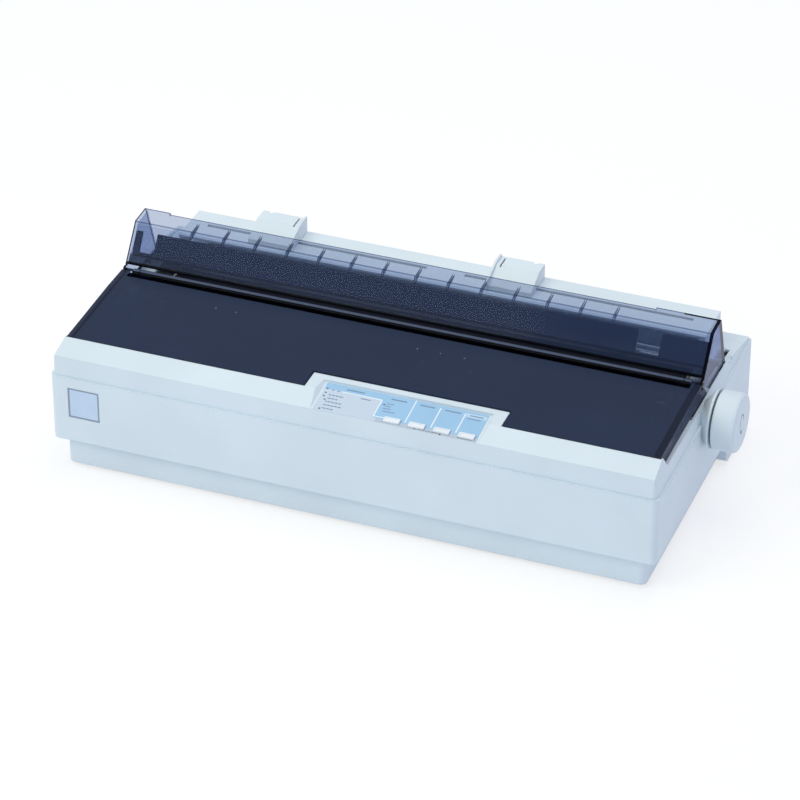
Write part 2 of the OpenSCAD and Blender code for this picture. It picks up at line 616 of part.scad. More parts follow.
module platen_bushes() place() color([0.25, 0.26, 0.29]) both() difference() {
    union() {
        rod_x(frame_hw - steel, frame_hw, platen_y, platen_z, 8);
        rod_x(frame_hw, frame_hw + 2.5, platen_y, platen_z, 10);
    }
    rod_x(frame_hw - 5, frame_hw + 5, platen_y, platen_z, shaft_r + run);
}
module motor_x(x0, y, z, l) {
    translate([x0, y - motor_w / 2, z - motor_w / 2]) rotate([90, 0, 90]) linear_extrude(l)
        round_rect(motor_w, motor_w, 5);
}
module feed_motor() place() color([0.35, 0.36, 0.39]) {
    motor_x(frame_hw - steel - motor_l, pinion_y, pinion_z, motor_l);
    rod_x(frame_hw - steel - 1, gear_x0 + gear_w + 1, pinion_y, pinion_z, 1.5);
}
motor_top = 59;
belt_z0 = 64;
belt_w = 6;
module carriage_motor() place() color([0.35, 0.36, 0.39]) {
    translate([-pulley_x, pulley_y, frame_z + steel]) {
        translate([-motor_w / 2, -motor_w / 2, 0]) linear_extrude(motor_top - frame_z - steel)
            round_rect(motor_w, motor_w, 5);
        cylinder(r = 2.5, h = belt_z0 + belt_w + 2 - frame_z - steel, $fn = 32);
    }
    // the pin of the idler pulley stands on a bracket at the other end
    translate([pulley_x - 8, pulley_y - 8, frame_z + steel]) cube([16, 16, motor_top - frame_z - steel]);
    translate([pulley_x, pulley_y, motor_top - 1])
        cylinder(r = 2.5, h = belt_z0 + belt_w + 3 - motor_top, $fn = 32);
}
belt_in = pulley_r + 0.3;
belt_t = 1.2;
module belt_outline(grow) {
    translate([-pulley_x, -belt_in - grow]) square([2 * pulley_x, 2 * (belt_in + grow)]);
    for (x = [-pulley_x, pulley_x]) translate([x, 0]) circle(belt_in + grow, $fn = 48);
}
module carriage_belt() place() color([0.12, 0.12, 0.13])
    translate([0, pulley_y, belt_z0]) linear_extrude(belt_w) difference() {
        belt_outline(belt_t);
        belt_outline(0);
    }
module pulley(x) place() color([0.80, 0.80, 0.78]) translate([x, pulley_y, belt_z0 - 1.5]) difference() {
    union() {
        cylinder(r = pulley_r, h = belt_w + 3, $fn = 48);
        cylinder(r = pulley_r + 2, h = 1.2, $fn = 48);
        translate([0, 0, belt_w + 1.8]) cylinder(r = pulley_r + 2, h = 1.2, $fn = 48);
    }
    translate([0, 0, -1]) cylinder(r = 2.5 + run, h = belt_w + 6, $fn = 40);
}
module motor_pulley() pulley(-pulley_x);
module idler_pulley() pulley(pulley_x);

/* ---------- platen and gears ---------- */
module platen_shaft() place() color([0.82, 0.83, 0.85])
    rod_x(-frame_hw - 6, knob_x1 - 8, platen_y, platen_z, shaft_r);
module platen_roller() place() color([0.15, 0.15, 0.16]) difference() {
    rod_x(-platen_hl, platen_hl, platen_y, platen_z, platen_r);
    rod_x(-platen_hl - 1, platen_hl + 1, platen_y, platen_z, shaft_r);
}
module platen_knob() place() color([0.86, 0.90, 0.95]) translate([knob_x0, platen_y, platen_z])
    rotate([0, 90, 0]) difference() {
        rotate_extrude($fn = 96) polygon([[0, 0], [knob_r - 1, 0], [knob_r, 1],
            [knob_r, knob_x1 - knob_x0 - 3.4], [knob_r - 0.8, knob_x1 - knob_x0 - 1.2],
            [knob_r - 2.4, knob_x1 - knob_x0], [0, knob_x1 - knob_x0]]);
        translate([0, 0, -1]) cylinder(r = shaft_r, h = knob_x1 - knob_x0 - 7, $fn = 48);
        translate([0, 0, -1]) difference() {
            cylinder(r = knob_r - 3, h = knob_x1 - knob_x0 - 4, $fn = 96);
            translate([0, 0, -1]) cylinder(r = shaft_r + 3, h = 60, $fn = 48);
        }
    }
module platen_gear() place() color([0.90, 0.90, 0.86])
    gear_x(platen_teeth, platen_y, platen_z, gear_x0, gear_w, 0, shaft_r);
// Tooth phases: on the line of centres a tooth of one gear meets a gap of the other
function phase(n_a, start_a, n_b, dir) =
    dir + 180 - ((dir - start_a) * n_a / 360 - floor((dir - start_a) * n_a / 360)) * -360 / n_b + 180 / n_b;
idler_start = phase(platen_teeth, 0, idler_teeth, idler_angle);
pinion_start = phase(idler_teeth, idler_start, pinion_teeth, pinion_angle);
link_start = phase(platen_teeth, 0, link_teeth, tractor_angle);
tractor_start = phase(link_teeth, link_start, tractor_teeth, tractor_angle);
module feed_idler_gear() place() color([0.90, 0.90, 0.86])
    gear_x(idler_teeth, idler_y, idler_z, gear_x0, gear_w, idler_start, stud_r + run);
module feed_motor_pinion() place() color([0.78, 0.68, 0.40])
    gear_x(pinion_teeth, pinion_y, pinion_z, gear_x0, gear_w, pinion_start, 1.5 + run);
module tractor_idler_gear() place() color([0.90, 0.90, 0.86])
    gear_x(link_teeth, link_y, link_z, gear_x0, gear_w, link_start, stud_r + run);
module tractor_drive_shaft() place() color([0.86, 0.86, 0.84]) {
    gear_x(tractor_teeth, tractor_y, tractor_z, gear_x0, gear_w, tractor_start, 2);
    translate([-frame_hw + steel + 1, tractor_y, tractor_z]) rotate([tractor_start, 0, 0])
        translate([0, -square_w / 2, -square_w / 2]) cube([2 * frame_hw - 2 * steel - 2, square_w, square_w]);
    rod_x(frame_hw - steel - 2, gear_x0 + gear_w, tractor_y, tractor_z, journal_r - journal_play);
    mirror([1, 0, 0]) rod_x(frame_hw - steel - 2, frame_hw + 1, tractor_y, tractor_z,
        journal_r - journal_play);
}
roller_x = [-150, -50, 50, 150];
module pressure_rollers() place() color([0.20, 0.20, 0.22]) {
    rod_x(-frame_hw - 1, frame_hw + 1, roller_y, roller_z, roller_shaft_r);
    for (x = roller_x) rod_x(x - 10, x + 10, roller_y, roller_z, roller_r);
}
chute_r = platen_r + 2;
chute_y1 = tractor_y - 16;          // rear lip of the paper chute
module chute_outline() {
    difference() {
        translate([platen_y, platen_z]) circle(chute_r + 1.6, $fn = 96);
        translate([platen_y, platen_z]) circle(chute_r, $fn = 96);
        // open above the line from the front lip to the rear lip
        polygon([[platen_y, platen_z], [platen_y - 60 * cos(40), platen_z - 60 * sin(40)],
                 [platen_y - 90, platen_z + 60], [platen_y + 90, platen_z + 60],
                 [platen_y + 60 * cos(12), platen_z - 60 * sin(12)]]);
    }
    polygon([[platen_y + chute_r * cos(12), platen_z - chute_r * sin(12)],
             [chute_y1, tractor_z + 12], [chute_y1, tractor_z + 10.4],
             [platen_y + (chute_r + 1.6) * cos(12), platen_z - (chute_r + 1.6) * sin(12)]]);
}
module paper_chute() place() color([0.20, 0.21, 0.24]) difference() {
    along_x(-frame_hw + steel, frame_hw - steel) chute_outline();
    for (x = roller_x) block(x - 12, x + 12, roller_y - 8.5, roller_y + 8.5, roller_z - 10, platen_z - 8);
}

/* ---------- print carriage and ribbon ---------- */
head_tip_y = platen_y - platen_r - 1.9;
deck_top = rail_top + 5;
module on_carriage() translate([carriage_x, 0, 0]) children();
module carriage() place() color([0.18, 0.19, 0.21]) on_carriage() difference() {
    union() {
        along_x(-carriage_w / 2, carriage_w / 2) polygon([[frame_y0 + 2, rail_top + gap],
            [frame_y0 + 2, deck_top], [103, deck_top], [103, guide_shaft_z - 8],
            [guide_shaft_y - 8, guide_shaft_z - 8], [guide_shaft_y - 8, rail_top - 4],
            [pulley_y + 14, rail_top + gap]]);
        block(-8, 8, pulley_y + belt_in - 3, pulley_y + belt_in + belt_t + 3, belt_z0 - 2, rail_top + 1);
    }
    rod_x(-carriage_w, carriage_w, guide_shaft_y, guide_shaft_z, guide_shaft_r + run);
    block(-9, 9, pulley_y + belt_in - gap, pulley_y + belt_in + belt_t + gap, belt_z0 - 3,
        belt_z0 + belt_w + 0.6);
    block(-16, 16, frame_y0 + 8, guide_shaft_y - 18, rail_top + 2, deck_top + 1);
}
head_y0 = 77;
head_y1 = 110;
module print_head() place() color([0.55, 0.57, 0.60]) on_carriage() {
    difference() {
        rod_y(head_y0, head_y1, 0, platen_z, head_r);
        block(-30, 30, head_y0 - 1, head_y1 + 1, 60, deck_top);
        // cooling fins across the top half
        for (i = [0 : 5]) block(-30, 30, head_y0 + 4 + i * 4.4, head_y0 + 6.2 + i * 4.4, platen_z + 6,
            platen_z + 30);
    }
    translate([0, head_y1 - eps, platen_z]) rotate([-90, 0, 0]) rotate_extrude($fn = 48)
        polygon([[0, 0], [13, 0], [6, 6], [4.5, head_tip_y - head_y1], [0, head_tip_y - head_y1]]);
}
mask_y = platen_y - platen_r - 1;
mask_hw = head_r + 2.8;
module ribbon_mask() place() color([0.75, 0.76, 0.78]) on_carriage() difference() {
    union() {
        block(-mask_hw, mask_hw, mask_y, mask_y + 0.4, platen_z - 8, platen_z + 12);
        both() block(mask_hw - 2.2, mask_hw, 103, mask_y + 0.4, platen_z + 8.5, platen_z + 11);
        both() block(mask_hw - 2.2, mask_hw, 96, 104, deck_top, platen_z + 11);
    }
    rod_y(mask_y - 1, mask_y + 1, 0, platen_z, 4);
}
ribbon_y0 = 50;
ribbon_y1 = 74;
ribbon_z0 = deck_top + 2;
ribbon_z1 = 109;
ribbon_hw = frame_hw - 6;           // half width of the cartridge
ribbon_arm = ribbon_hw - 10;
ribbon_plane = platen_y - platen_r - 1.6;
ribbon_knob_x = ribbon_hw - 38;
ribbon_mid_y = (ribbon_y0 + ribbon_y1) / 2;
module ribbon_cartridge() place() color([0.11, 0.11, 0.12]) difference() {
    union() {
        translate([-ribbon_hw, ribbon_y0, ribbon_z0]) linear_extrude(ribbon_z1 - ribbon_z0)
            round_rect(2 * ribbon_hw, ribbon_y1 - ribbon_y0, 5);
        both() block(ribbon_hw - 4, frame_hw + 1, ribbon_y1 - 12, ribbon_y1 - 2, rail_top + 4, rail_top + 10);
        both() translate([0, 0, platen_z - 8.5]) linear_extrude(17)
            polygon([[ribbon_arm, ribbon_y1 - 3], [ribbon_hw + 2, ribbon_y1 - 3],
                     [ribbon_hw + 2, ribbon_plane - 5.9], [ribbon_hw - 2, ribbon_plane + 0.6],
                     [ribbon_arm, ribbon_plane + 0.6]]);
    }
    // raised lid line, the ribbon slots in the arms and the seat of the knob
    difference() {
        block(-ribbon_hw - 6, ribbon_hw + 6, ribbon_y0 - 1, ribbon_y1 + 1, ribbon_z1 - 4, ribbon_z1 - 3.2);
        block(-ribbon_hw + 1, ribbon_hw - 1, ribbon_y0 + 0.8, ribbon_y1 - 0.8, ribbon_z1 - 5, ribbon_z1 - 2);
    }
    both() block(ribbon_arm - 1, ribbon_arm + 5, ribbon_y1 + 6, ribbon_plane + 1,
                 platen_z - 6.5, platen_z + 10);
    translate([ribbon_knob_x, ribbon_mid_y, ribbon_z1 - 6]) cylinder(r = 3 + run, h = 10, $fn = 40);
    for (x = [-150, 0, 120]) translate([x - 20, ribbon_mid_y - 6, ribbon_z1 - 0.6]) linear_extrude(2)
        round_rect(40, 12, 3);
}
module ink_ribbon() place() color([0.05, 0.05, 0.07]) {
    block(-ribbon_arm - 2, ribbon_arm + 2, ribbon_plane, ribbon_plane + 0.3, platen_z - 6.2, platen_z + 6.2);
}
module ribbon_knob() place() color([0.24, 0.35, 0.62]) translate([ribbon_knob_x, ribbon_mid_y, ribbon_z1]) {
    difference() {
        translate([0, 0, gap]) cylinder(r = 8.5, h = 6.5, $fn = 48);
        for (a = [0 : 30 : 330]) rotate([0, 0, a]) translate([9.1, 0, 0]) cylinder(r = 1.2, h = 8, $fn = 20);
        translate([0, 0, 5]) difference() {
            cylinder(r = 6, h = 3, $fn = 48);
            translate([-1, -7, 0]) cube([2, 14, 3]);
        }
    }
    translate([0, 0, -5]) cylinder(r = 3, h = 6, $fn = 40);
}

/* ---------- cover and hood ---------- */
// Top of the cover, which rises to a shallow crease and falls again behind it
function cover_top(y) = hinge_z - (hinge_y - y) * tan(cover_pitch) + crease_rise * (y < cover_crease_y
    ? (y - cover_y0) / (cover_crease_y - cover_y0) : (hinge_y - y) / (hinge_y - cover_crease_y));
module cover_side() {
    polygon([[cover_y0, cover_top(cover_y0)], [cover_y0, cover_top(cover_y0) - skin],
             [bay_y0 + gap, cover_top(cover_y0) - skin], [beam_d + 12, skirt_low],
             [rail_y + 5, skirt_low], [rail_y + 9, skirt_low - 4], [hinge_y + 14, skirt_low - 4],
             [hinge_y + 2, pivot_z - 5], [hinge_y - 5, pivot_z - 5], [hinge_y - 5, cover_top(hinge_y - 5)],
             [cover_crease_y, cover_top(cover_crease_y)]]);
}
// The sheet of the cover between two values of Y, drop below its top and thick
module cover_slab(y0, y1, drop, thick) polygon([[y0, cover_top(y0) - drop],
    [cover_crease_y, cover_top(cover_crease_y) - drop], [y1, cover_top(y1) - drop],
    [y1, cover_top(y1) - drop - thick], [cover_crease_y, cover_top(cover_crease_y) - drop - thick],
    [y0, cover_top(y0) - drop - thick]]);
module trough_outline() {
    polygon([[trough_y0 - 1.6, cover_top(trough_y0) - 0.5], [trough_y0, cover_top(trough_y0)],
             [trough_y0, trough_z], [trough_y1, trough_z], [trough_y1, pivot_z], [trough_y1 + 2, pivot_z],
             [trough_y1 + 2, trough_z - 1.6], [trough_y0 - 1.6, trough_z - 1.6]]);
}
// The rounded lip round the hinge pin
module lip_outline() {
    for (y = [trough_y1 + barrel_r, hinge_y]) translate([y, pivot_z]) circle(barrel_r, $fn = 48);
    translate([trough_y1 + barrel_r, pivot_z - barrel_r])
        square([hinge_y - trough_y1 - barrel_r, 2 * barrel_r]);
}
module front_cover() place() color([0.21, 0.26, 0.36, 0.9]) {
    cover_sheet();
    rod_x(-cover_hw + 0.2, cover_hw - 0.2, hinge_y, pivot_z, pin_r);
}
module cover_sheet() difference() {
    union() {
        along_x(-cover_hw, cover_hw) cover_slab(cover_y0, trough_y0, 0, skin);
        both() along_x(cover_hw - rim_w, cover_hw) cover_slab(cover_y0, hinge_y - 5, 0, skin);
        both() along_x(cover_hw - skin, cover_hw) cover_side();
        // stiffening ribs on the underside
        both() along_x(cover_hw - rim_w, cover_hw - rim_w + 1.5) cover_slab(cover_y0 + 4, trough_y0, 1, 3.5);
        // the trough with its two ends, and the lip with a short piece beyond each of its breaks
        along_x(-cover_hw + rim_w, cover_hw - rim_w) trough_outline();
        both() along_x(cover_hw - rim_w, cover_hw - rim_w + 1.5) polygon([
            [trough_y0 - 1.6, trough_z - 1.6], [trough_y0 - 1.6, cover_top(trough_y0) - 0.5],
            [trough_y1 + 1, cover_top(trough_y1 + 1) - 0.5], [trough_y1 + 1, trough_z - 1.6]]);
        along_x(-lip_hw, lip_hw) lip_outline();
        both() along_x(lip_hw + 1.2, lip_hw + 7) lip_outline();
    }
    // room for the eyes of the hood
    both() block(cover_hw - skin - gap, cover_hw + 1, hinge_y - lug_r - gap, hinge_y + 5, pivot_z - 5,
        hinge_z + 5);
    block(tab_x0 - tab_gap, tab_x1 + tab_gap, cover_y0 - 1, tab_y1 + tab_gap, 100, 140);
}

hood_front_y = hinge_y + 2.6;
hood_front_z = hinge_z + 1.6;
hood_rib_x0 = -cover_hw + 53.8;     // the first rib of the hood
// The front and top sheet of the hood, and its sides
module hood_sheet() difference() {
    polygon([[hood_front_y, hood_front_z], [hood_crease_y, hood_crease_z], [hood_rear_y, hood_top_z],
             [hood_rear_y, hood_top_z - skin - 1], [hood_crease_y, hood_crease_z - 8]]);
    polygon([[hood_front_y + skin * 1.26, hood_front_z - 1], [hood_crease_y + skin * 0.6,
        hood_crease_z - skin],
             [hood_rear_y + 1, hood_top_z - skin], [hood_rear_y + 1, hood_top_z - 20], [hood_crease_y, 120]]);
}
module hood_side() difference() {
    union() {
        polygon([[hood_front_y, hood_front_z], [hood_crease_y, hood_crease_z], [hood_rear_y, hood_top_z],
                 [hood_foot_y, hood_low], [hood_crease_y - 5, hood_low], [hinge_y + 1,
                     pivot_z - lug_r + 0.4]]);
        translate([hinge_y, pivot_z]) circle(lug_r, $fn = 48);
        translate([hood_pivot_y, hood_pivot_z]) circle(5, $fn = 48);
    }
    translate([hinge_y, pivot_z]) circle(pin_r + run, $fn = 48);
    translate([hood_pivot_y, hood_pivot_z]) circle(hood_pin_r + run, $fn = 48);
}
step_x0 = -cover_hw + 25;
step_x1 = cover_hw - 57.3;
module hood() place() color([0.22, 0.27, 0.38, 0.9]) difference() {
    union() {
        along_x(-cover_hw, cover_hw) hood_sheet();
        both() along_x(cover_hw - skin, cover_hw) hood_side();
        // ribs that guide the paper below the crease
        for (i = [0 : hood_ribs - 1]) along_x(hood_rib_x0 + i * hood_rib_pitch - 0.8,
                                              hood_rib_x0 + i * hood_rib_pitch + 0.8)
            polygon([[hood_crease_y - 5, hood_crease_z - 8], [hood_crease_y, hood_crease_z - 1],
                     [hood_rear_y - 3, hood_top_z - 1], [hood_rear_y - 6, hood_top_z - 5],
                     [hood_crease_y + 2, hood_crease_z - 7]]);
    }
    // the rear edge is set back between its two ends
    block(step_x0, step_x1, hood_rear_y - 2.5, hood_rear_y + 10, hood_top_z - 8, hood_top_z + 5);
}
// A point up the front sheet of the hood and below it
hood_rake = atan((hood_crease_z - hood_front_z) / (hood_crease_y - hood_front_y));
hood_slope_l = norm([hood_crease_y - hood_front_y, hood_crease_z - hood_front_z]);
function below_front(up, depth) = [hood_front_y + up * cos(hood_rake) + depth * sin(hood_rake),
                                   hood_front_z + up * sin(hood_rake) - depth * cos(hood_rake)];
plate_s0 = 8.6;                     // lower and upper edge of the plate along the sheet
plate_s1 = hood_slope_l - 8.4;
module plate_notch(x0, x1, s0) along_x(x0, x1)
    polygon([below_front(s0, skin), below_front(plate_s1 + 3, skin),
    below_front(plate_s1 + 3, skin + 8), below_front(s0, skin + 8)]);
// The dark plate below the crease of the hood, with its notches at both ends
module paper_tension_plate() place() color([0.13, 0.15, 0.22]) difference() {
    along_x(-cover_hw + skin, cover_hw - skin) polygon([
        below_front(plate_s0, skin + 2.4), below_front(plate_s1, skin + 1.4),
        below_front(plate_s1 + 1, skin + 2.8), below_front(plate_s0, skin + 4.4)]);
    plate_notch(-cover_hw + 8.3, -cover_hw + 22.3, plate_s0 + 4.2);
    plate_notch(cover_hw - 65.3, cover_hw - 44.3, plate_s0 + 2);
}

/* ---------- tractors ---------- */
wheel_r = 12.1;                     // six pins at the half inch pitch of the paper holes
wheel_pins = 6;
pin_h = 3.2;
door_x = tractor_w / 2 - 1.6;       // hinge axis of the door, on the outer side
door_z = tractor_z + wheel_r + 1.8;
door_y0 = tractor_y - 13;
door_y1 = tractor_y + 13;
module tractor_outline() difference() {
    union() {
        translate([tractor_y, tractor_z]) circle(8.5, $fn = 48);
        polygon([[tractor_y - 2, tractor_z - 8.3], [tguide_y + 2, tguide_z - 7.8],
                 [tguide_y + 2, tguide_z + 7.8], [tractor_y, tractor_z + 8.5]]);
        translate([tguide_y, tguide_z]) circle(8, $fn = 48);
    }
    translate([tractor_y, tractor_z]) circle(6.4, $fn = 48);
    translate([tguide_y, tguide_z]) circle(tguide_r + run, $fn = 40);
}
// Placed at +X; the left one is its mirror image
module tractor() place_tractor() {
    both() along_x(tractor_w / 2 - 3, tractor_w / 2) tractor_outline();
    difference() {
        along_x(-tractor_w / 2 + 2.9, tractor_w / 2 - 2.9) polygon([
            [tractor_y + 16, tractor_z - 9], [tguide_y + 2, tguide_z - 7.8],
            [tguide_y + 2, tguide_z + 7.5], [tractor_y + 16, tractor_z + 6]]);
        rod_x(-20, 20, tguide_y, tguide_z, tguide_r + run);
    }
    // a shoulder with two ears that carry the hinge pin of the door
    difference() {
        union() {
            block(tractor_w / 2 - 3, tractor_w / 2, door_y0, door_y1, tractor_z + 2, tractor_z + 8);
            for (y = [door_y0, door_y1 - 3]) {
                block(tractor_w / 2 - 3, tractor_w / 2, y, y + 3, tractor_z + 4, door_z);
                rod_y(y, y + 3, door_x, door_z, 1.6);
            }
        }
        rod_y(door_y0 - 1, door_y1 + 1, door_x, door_z, 1 + run);
        rod_x(-20, 20, tractor_y, tractor_z, 6.4);
    }
}
module place_tractor() translate([tractor_x, 0, 0]) children();
module tractor_left() place() color([0.82, 0.83, 0.84]) mirror([1, 0, 0]) tractor();
module tractor_right() place() color([0.82, 0.83, 0.84]) tractor();
module pin_wheel(x) place() color([0.92, 0.92, 0.90]) translate([x, tractor_y, tractor_z]) {
    difference() {
        union() {
            rotate([0, 90, 0]) translate([0, 0, -tractor_w / 2 + 3 + gap])
                cylinder(r = wheel_r - 0.3, h = tractor_w - 6 - 2 * gap, $fn = 64);
            rotate([0, 90, 0]) translate([0, 0, -tractor_w / 2 - gap])
                cylinder(r = 6.4 - run, h = tractor_w + 2 * gap, $fn = 48);
            for (i = [0 : wheel_pins - 1]) rotate([i * 360 / wheel_pins, 0, 0]) translate([0, 0, wheel_r - 1])
                rotate_extrude($fn = 24)
                    polygon([[0, 0], [1.9, 0], [1.9, 2], [1, pin_h + 1], [0, pin_h + 1]]);
        }
        rotate([tractor_start, 0, 0]) translate([-30, -square_w / 2 - run, -square_w / 2 - run])
            cube([60, square_w + 2 * run, square_w + 2 * run]);
    }
}
module pin_wheel_left() pin_wheel(-tractor_x);
module pin_wheel_right() pin_wheel(tractor_x);
module tractor_door() place_tractor() {
    difference() {
        union() {
            rod_y(door_y0 + 3 + gap, door_y1 - 3 - gap, door_x, door_z, 1.6);
            along_y(door_y0 + 3 + gap, door_y1 - 3 - gap) polygon([[door_x, door_z - 1],
                [-tractor_w / 2, door_z - 1], [-tractor_w / 2, door_z + 1], [door_x, door_z + 1.6]]);
            along_y(door_y0, door_y1) polygon([[door_x - 2.2, door_z - 1],
                [-tractor_w / 2, door_z - 1], [-tractor_w / 2, door_z + 1], [door_x - 2.2, door_z + 1.4]]);
        }
        // slot for the pins of the wheel
        translate([-2.6, door_y0 + 1.5, door_z - 5]) linear_extrude(10)
            round_rect(5.2, door_y1 - door_y0 - 3, 2.4);
    }
    rod_y(door_y0, door_y1, door_x, door_z, 1);
    // finger tab
    block(-tractor_w / 2 - 2, -tractor_w / 2 + 1, tractor_y - 4, tractor_y + 6, door_z, door_z + 1);
}
module tractor_door_left() place() color([0.86, 0.87, 0.88]) mirror([1, 0, 0]) tractor_door();
module tractor_door_right() place() color([0.86, 0.87, 0.88]) tractor_door();

/* ---------- paper guide and edge guides ---------- */
guide_t = 2.4;
guide_y0 = hood_foot_y + 7;
guide_slot = [guide_rear_y - 24, guide_rear_y - 20];
guide_slot_l = 210;
module guide_side() union() {
    translate([guide_pin_y, guide_pin_z]) circle(4.6, $fn = 40);
    polygon([[guide_y0, guide_z], [guide_y0, guide_pin_z - 1], [guide_pin_y, guide_pin_z - 4.6],
             [guide_rear_y - 4, deck_rear_z + 6], [guide_rear_y, deck_rear_z + 9], [guide_rear_y, guide_z]]);
}
module paper_guide() place() color([0.88, 0.92, 0.95]) {
    difference() {
        along_x(-guide_hw, guide_hw) union() {
            polygon([[guide_y0, guide_z], [guide_y0, guide_z - guide_t], [guide_rear_y, guide_z - guide_t],
                     [guide_rear_y, guide_z]]);
            polygon([[guide_rear_y - guide_t, guide_z - 9], [guide_rear_y - guide_t, guide_z],
                     [guide_rear_y, guide_z], [guide_rear_y, guide_z - 9]]);
        }
        for (x = [-guide_hw + 18, guide_hw - 18 - guide_slot_l]) translate([x, guide_slot[0], guide_z - 5])
            cube([guide_slot_l, guide_slot[1] - guide_slot[0], 10]);
    }
    both() along_x(guide_hw - guide_t, guide_hw) guide_side();
    both() rod_x(guide_hw - 1, guide_hw + ear_w, guide_pin_y, guide_pin_z, guide_pin_r);
    for (x = [-200 : 40 : 200])
        block(x - 0.8, x + 0.8, guide_y0 + 1, guide_slot[0] - 3, guide_z - 5, guide_z - 1);
}
// side is 1 where the fence faces +X
module edge_guide(x, side) place() color([0.85, 0.89, 0.93]) translate([x, 0, 0])
    mirror([side < 0 ? 1 : 0, 0, 0]) {
    z0 = guide_z + gap;
    y0 = guide_slot[0] - 14;            // foot of its ramp
    y1 = guide_rear_y - 16;             // head of its ramp
    y2 = guide_rear_y - 1;
    difference() {
        union() {
            difference() {
                along_x(-edge_w / 2, edge_w / 2) polygon([[y0, z0], [y0, z0 + 4], [y1, z0 + edge_h],
                    [y2, z0 + edge_h], [y2, z0]]);
                along_x(-edge_w / 2 + 2, edge_w / 2 - 2) polygon([[y0 + 2, z0 - 1], [y0 + 2, z0 + 2.8],
                    [y1 + 1, z0 + edge_h - 2], [y2 - 2, z0 + edge_h - 2], [y2 - 2, z0 - 1]]);
            }
            along_x(edge_w / 2 - 2, edge_w / 2) polygon([[y0 - 2, z0], [y0 - 2, z0 + 8],
                [y1 + 2, z0 + edge_h + 2], [y2, z0 + edge_h + 2], [y2, z0]]);
            along_x(-6, 6) {
                translate([guide_slot[0] + gap, guide_z - guide_t - 1])
                    square([guide_slot[1] - guide_slot[0] - 2 * gap, edge_h]);
                translate([guide_slot[0] - 2, guide_z - guide_t - gap - 1.4])
                    square([guide_slot[1] - guide_slot[0] + 4, 1.4]);
            }
        }
        // thumb notch and slit in the top
        translate([-edge_w / 2 + 8, y2 - 3, z0 + edge_h - 4]) rotate([0, 0, 45]) cube([5, 5, 8]);
        block(edge_w / 2 - 7, edge_w / 2 - 5.6, y1 - 2, y2 - 3, z0 + edge_h - 4, z0 + edge_h + 1);
    }
}
module edge_guide_left() edge_guide(edge_left_x, 1);
module edge_guide_right() edge_guide(edge_right_x, -1);

/* ---------- levers, switch, connectors and boards ---------- */
module release_lever() place() color([0.30, 0.33, 0.40]) difference() {
    union() {
        along_x(release_x, release_x + 3) {
            translate([release_y, release_z]) circle(6, $fn = 40);
            polygon([[release_y - 5, release_z], [release_y + 5, release_z],
                     [release_y - 3, deck_z0 + 4], [release_y - 8, deck_z0 + 4]]);
        }
        along_x(release_x, release_x + 6) polygon([[release_y - 9, deck_z0 + 3.5],
            [release_y - 2, deck_z0 + 3.5], [release_y - 3, deck_z0 + 7], [release_y - 8, deck_z0 + 7]]);
    }
    rod_x(release_x - 1, release_x + 8, release_y, release_z, stud_r + run);
}
gap_x = -frame_hw - 3.5;
module gap_lever() place() color([0.24, 0.35, 0.62]) difference() {
    union() {
        along_x(gap_x - 3, gap_x) {
            translate([gap_y, gap_z]) circle(6, $fn = 40);
            polygon([[gap_y - 4, gap_z], [gap_y + 4, gap_z], [gap_y + 2.5, gap_top - 5],
                     [gap_y - 2.5, gap_top - 5]]);
        }
        along_x(gap_x - 6, gap_x + 2) polygon([[gap_y - 3.5, gap_top - 7],
            [gap_y + 3.5, gap_top - 7], [gap_y + 2.5, gap_top], [gap_y - 2.5, gap_top]]);
    }
    rod_x(gap_x - 8, gap_x + 4, gap_y, gap_z, stud_r + run);
}
rocker_y = switch[0];
rocker_z = switch[1];
rocker_x = -hw + 6.6;
module switch_housing() place() color([0.12, 0.12, 0.13]) difference() {
    union() {
        block(-hw + 0.5, -hw + 16, rocker_y - 10.5, rocker_y + 10.5, rocker_z - 6.5, rocker_z + 6.5);
        block(-hw, -hw + switch_rim, rocker_y - 12.5, rocker_y + 12.5, rocker_z - 8.5, rocker_z + 8.5);
    }
    block(-hw - 1, -hw + 13, rocker_y - 9, rocker_y + 9, rocker_z - 5, rocker_z + 5);
    rod_x_bore();
}
module rod_x_bore() translate([rocker_x, rocker_y, rocker_z - 7]) cylinder(r = 1.2 + run, h = 14, $fn = 32);
module power_rocker() place() color([0.14, 0.14, 0.15]) intersection() {
    union() {
        translate([rocker_x, rocker_y, rocker_z - 4.7]) linear_extrude(9.4) polygon([
            [-4.5, -8.2], [-2.5, 0], [-6.2, 7.6], [-2, 7.6], [4, 3], [4, -3], [-1, -8.2]]);
        translate([rocker_x, rocker_y, rocker_z - 6]) cylinder(r = 1.2, h = 12, $fn = 32);
    }
    block(-hw - 5, -hw + 20, rocker_y - 8.6, rocker_y + 8.6, rocker_z - 6.2, rocker_z + 6.2);
}
module power_inlet() place() color([0.10, 0.10, 0.11]) {
    inlet_body();
    inlet_pins();
}
module inlet_body() difference() {
    union() {
        block(inlet[0] - inlet[2] / 2 + gap, inlet[0] + inlet[2] / 2 - gap, body_d - 24, body_d + 1,
              inlet[1] - inlet[3] / 2 + gap, inlet[1] + inlet[3] / 2 - gap);
        block(inlet[0] - inlet[2] / 2 - 3, inlet[0] + inlet[2] / 2 + 3, body_d, body_d + 1.6,
              inlet[1] - inlet[3] / 2 - 3, inlet[1] + inlet[3] / 2 + 3);
    }
    along_y(body_d - 17, body_d + 3) polygon([
        [inlet[0] - 11, inlet[1] - 8], [inlet[0] + 11, inlet[1] - 8], [inlet[0] + 11, inlet[1] + 4],
        [inlet[0] + 7, inlet[1] + 8], [inlet[0] - 7, inlet[1] + 8], [inlet[0] - 11, inlet[1] + 4]]);
}
module inlet_pins() for (i = [-1, 0, 1])
    block(inlet[0] + i * 6 - 1, inlet[0] + i * 6 + 1, body_d - 18, body_d - 3, inlet[1] - 2, inlet[1] + 2);
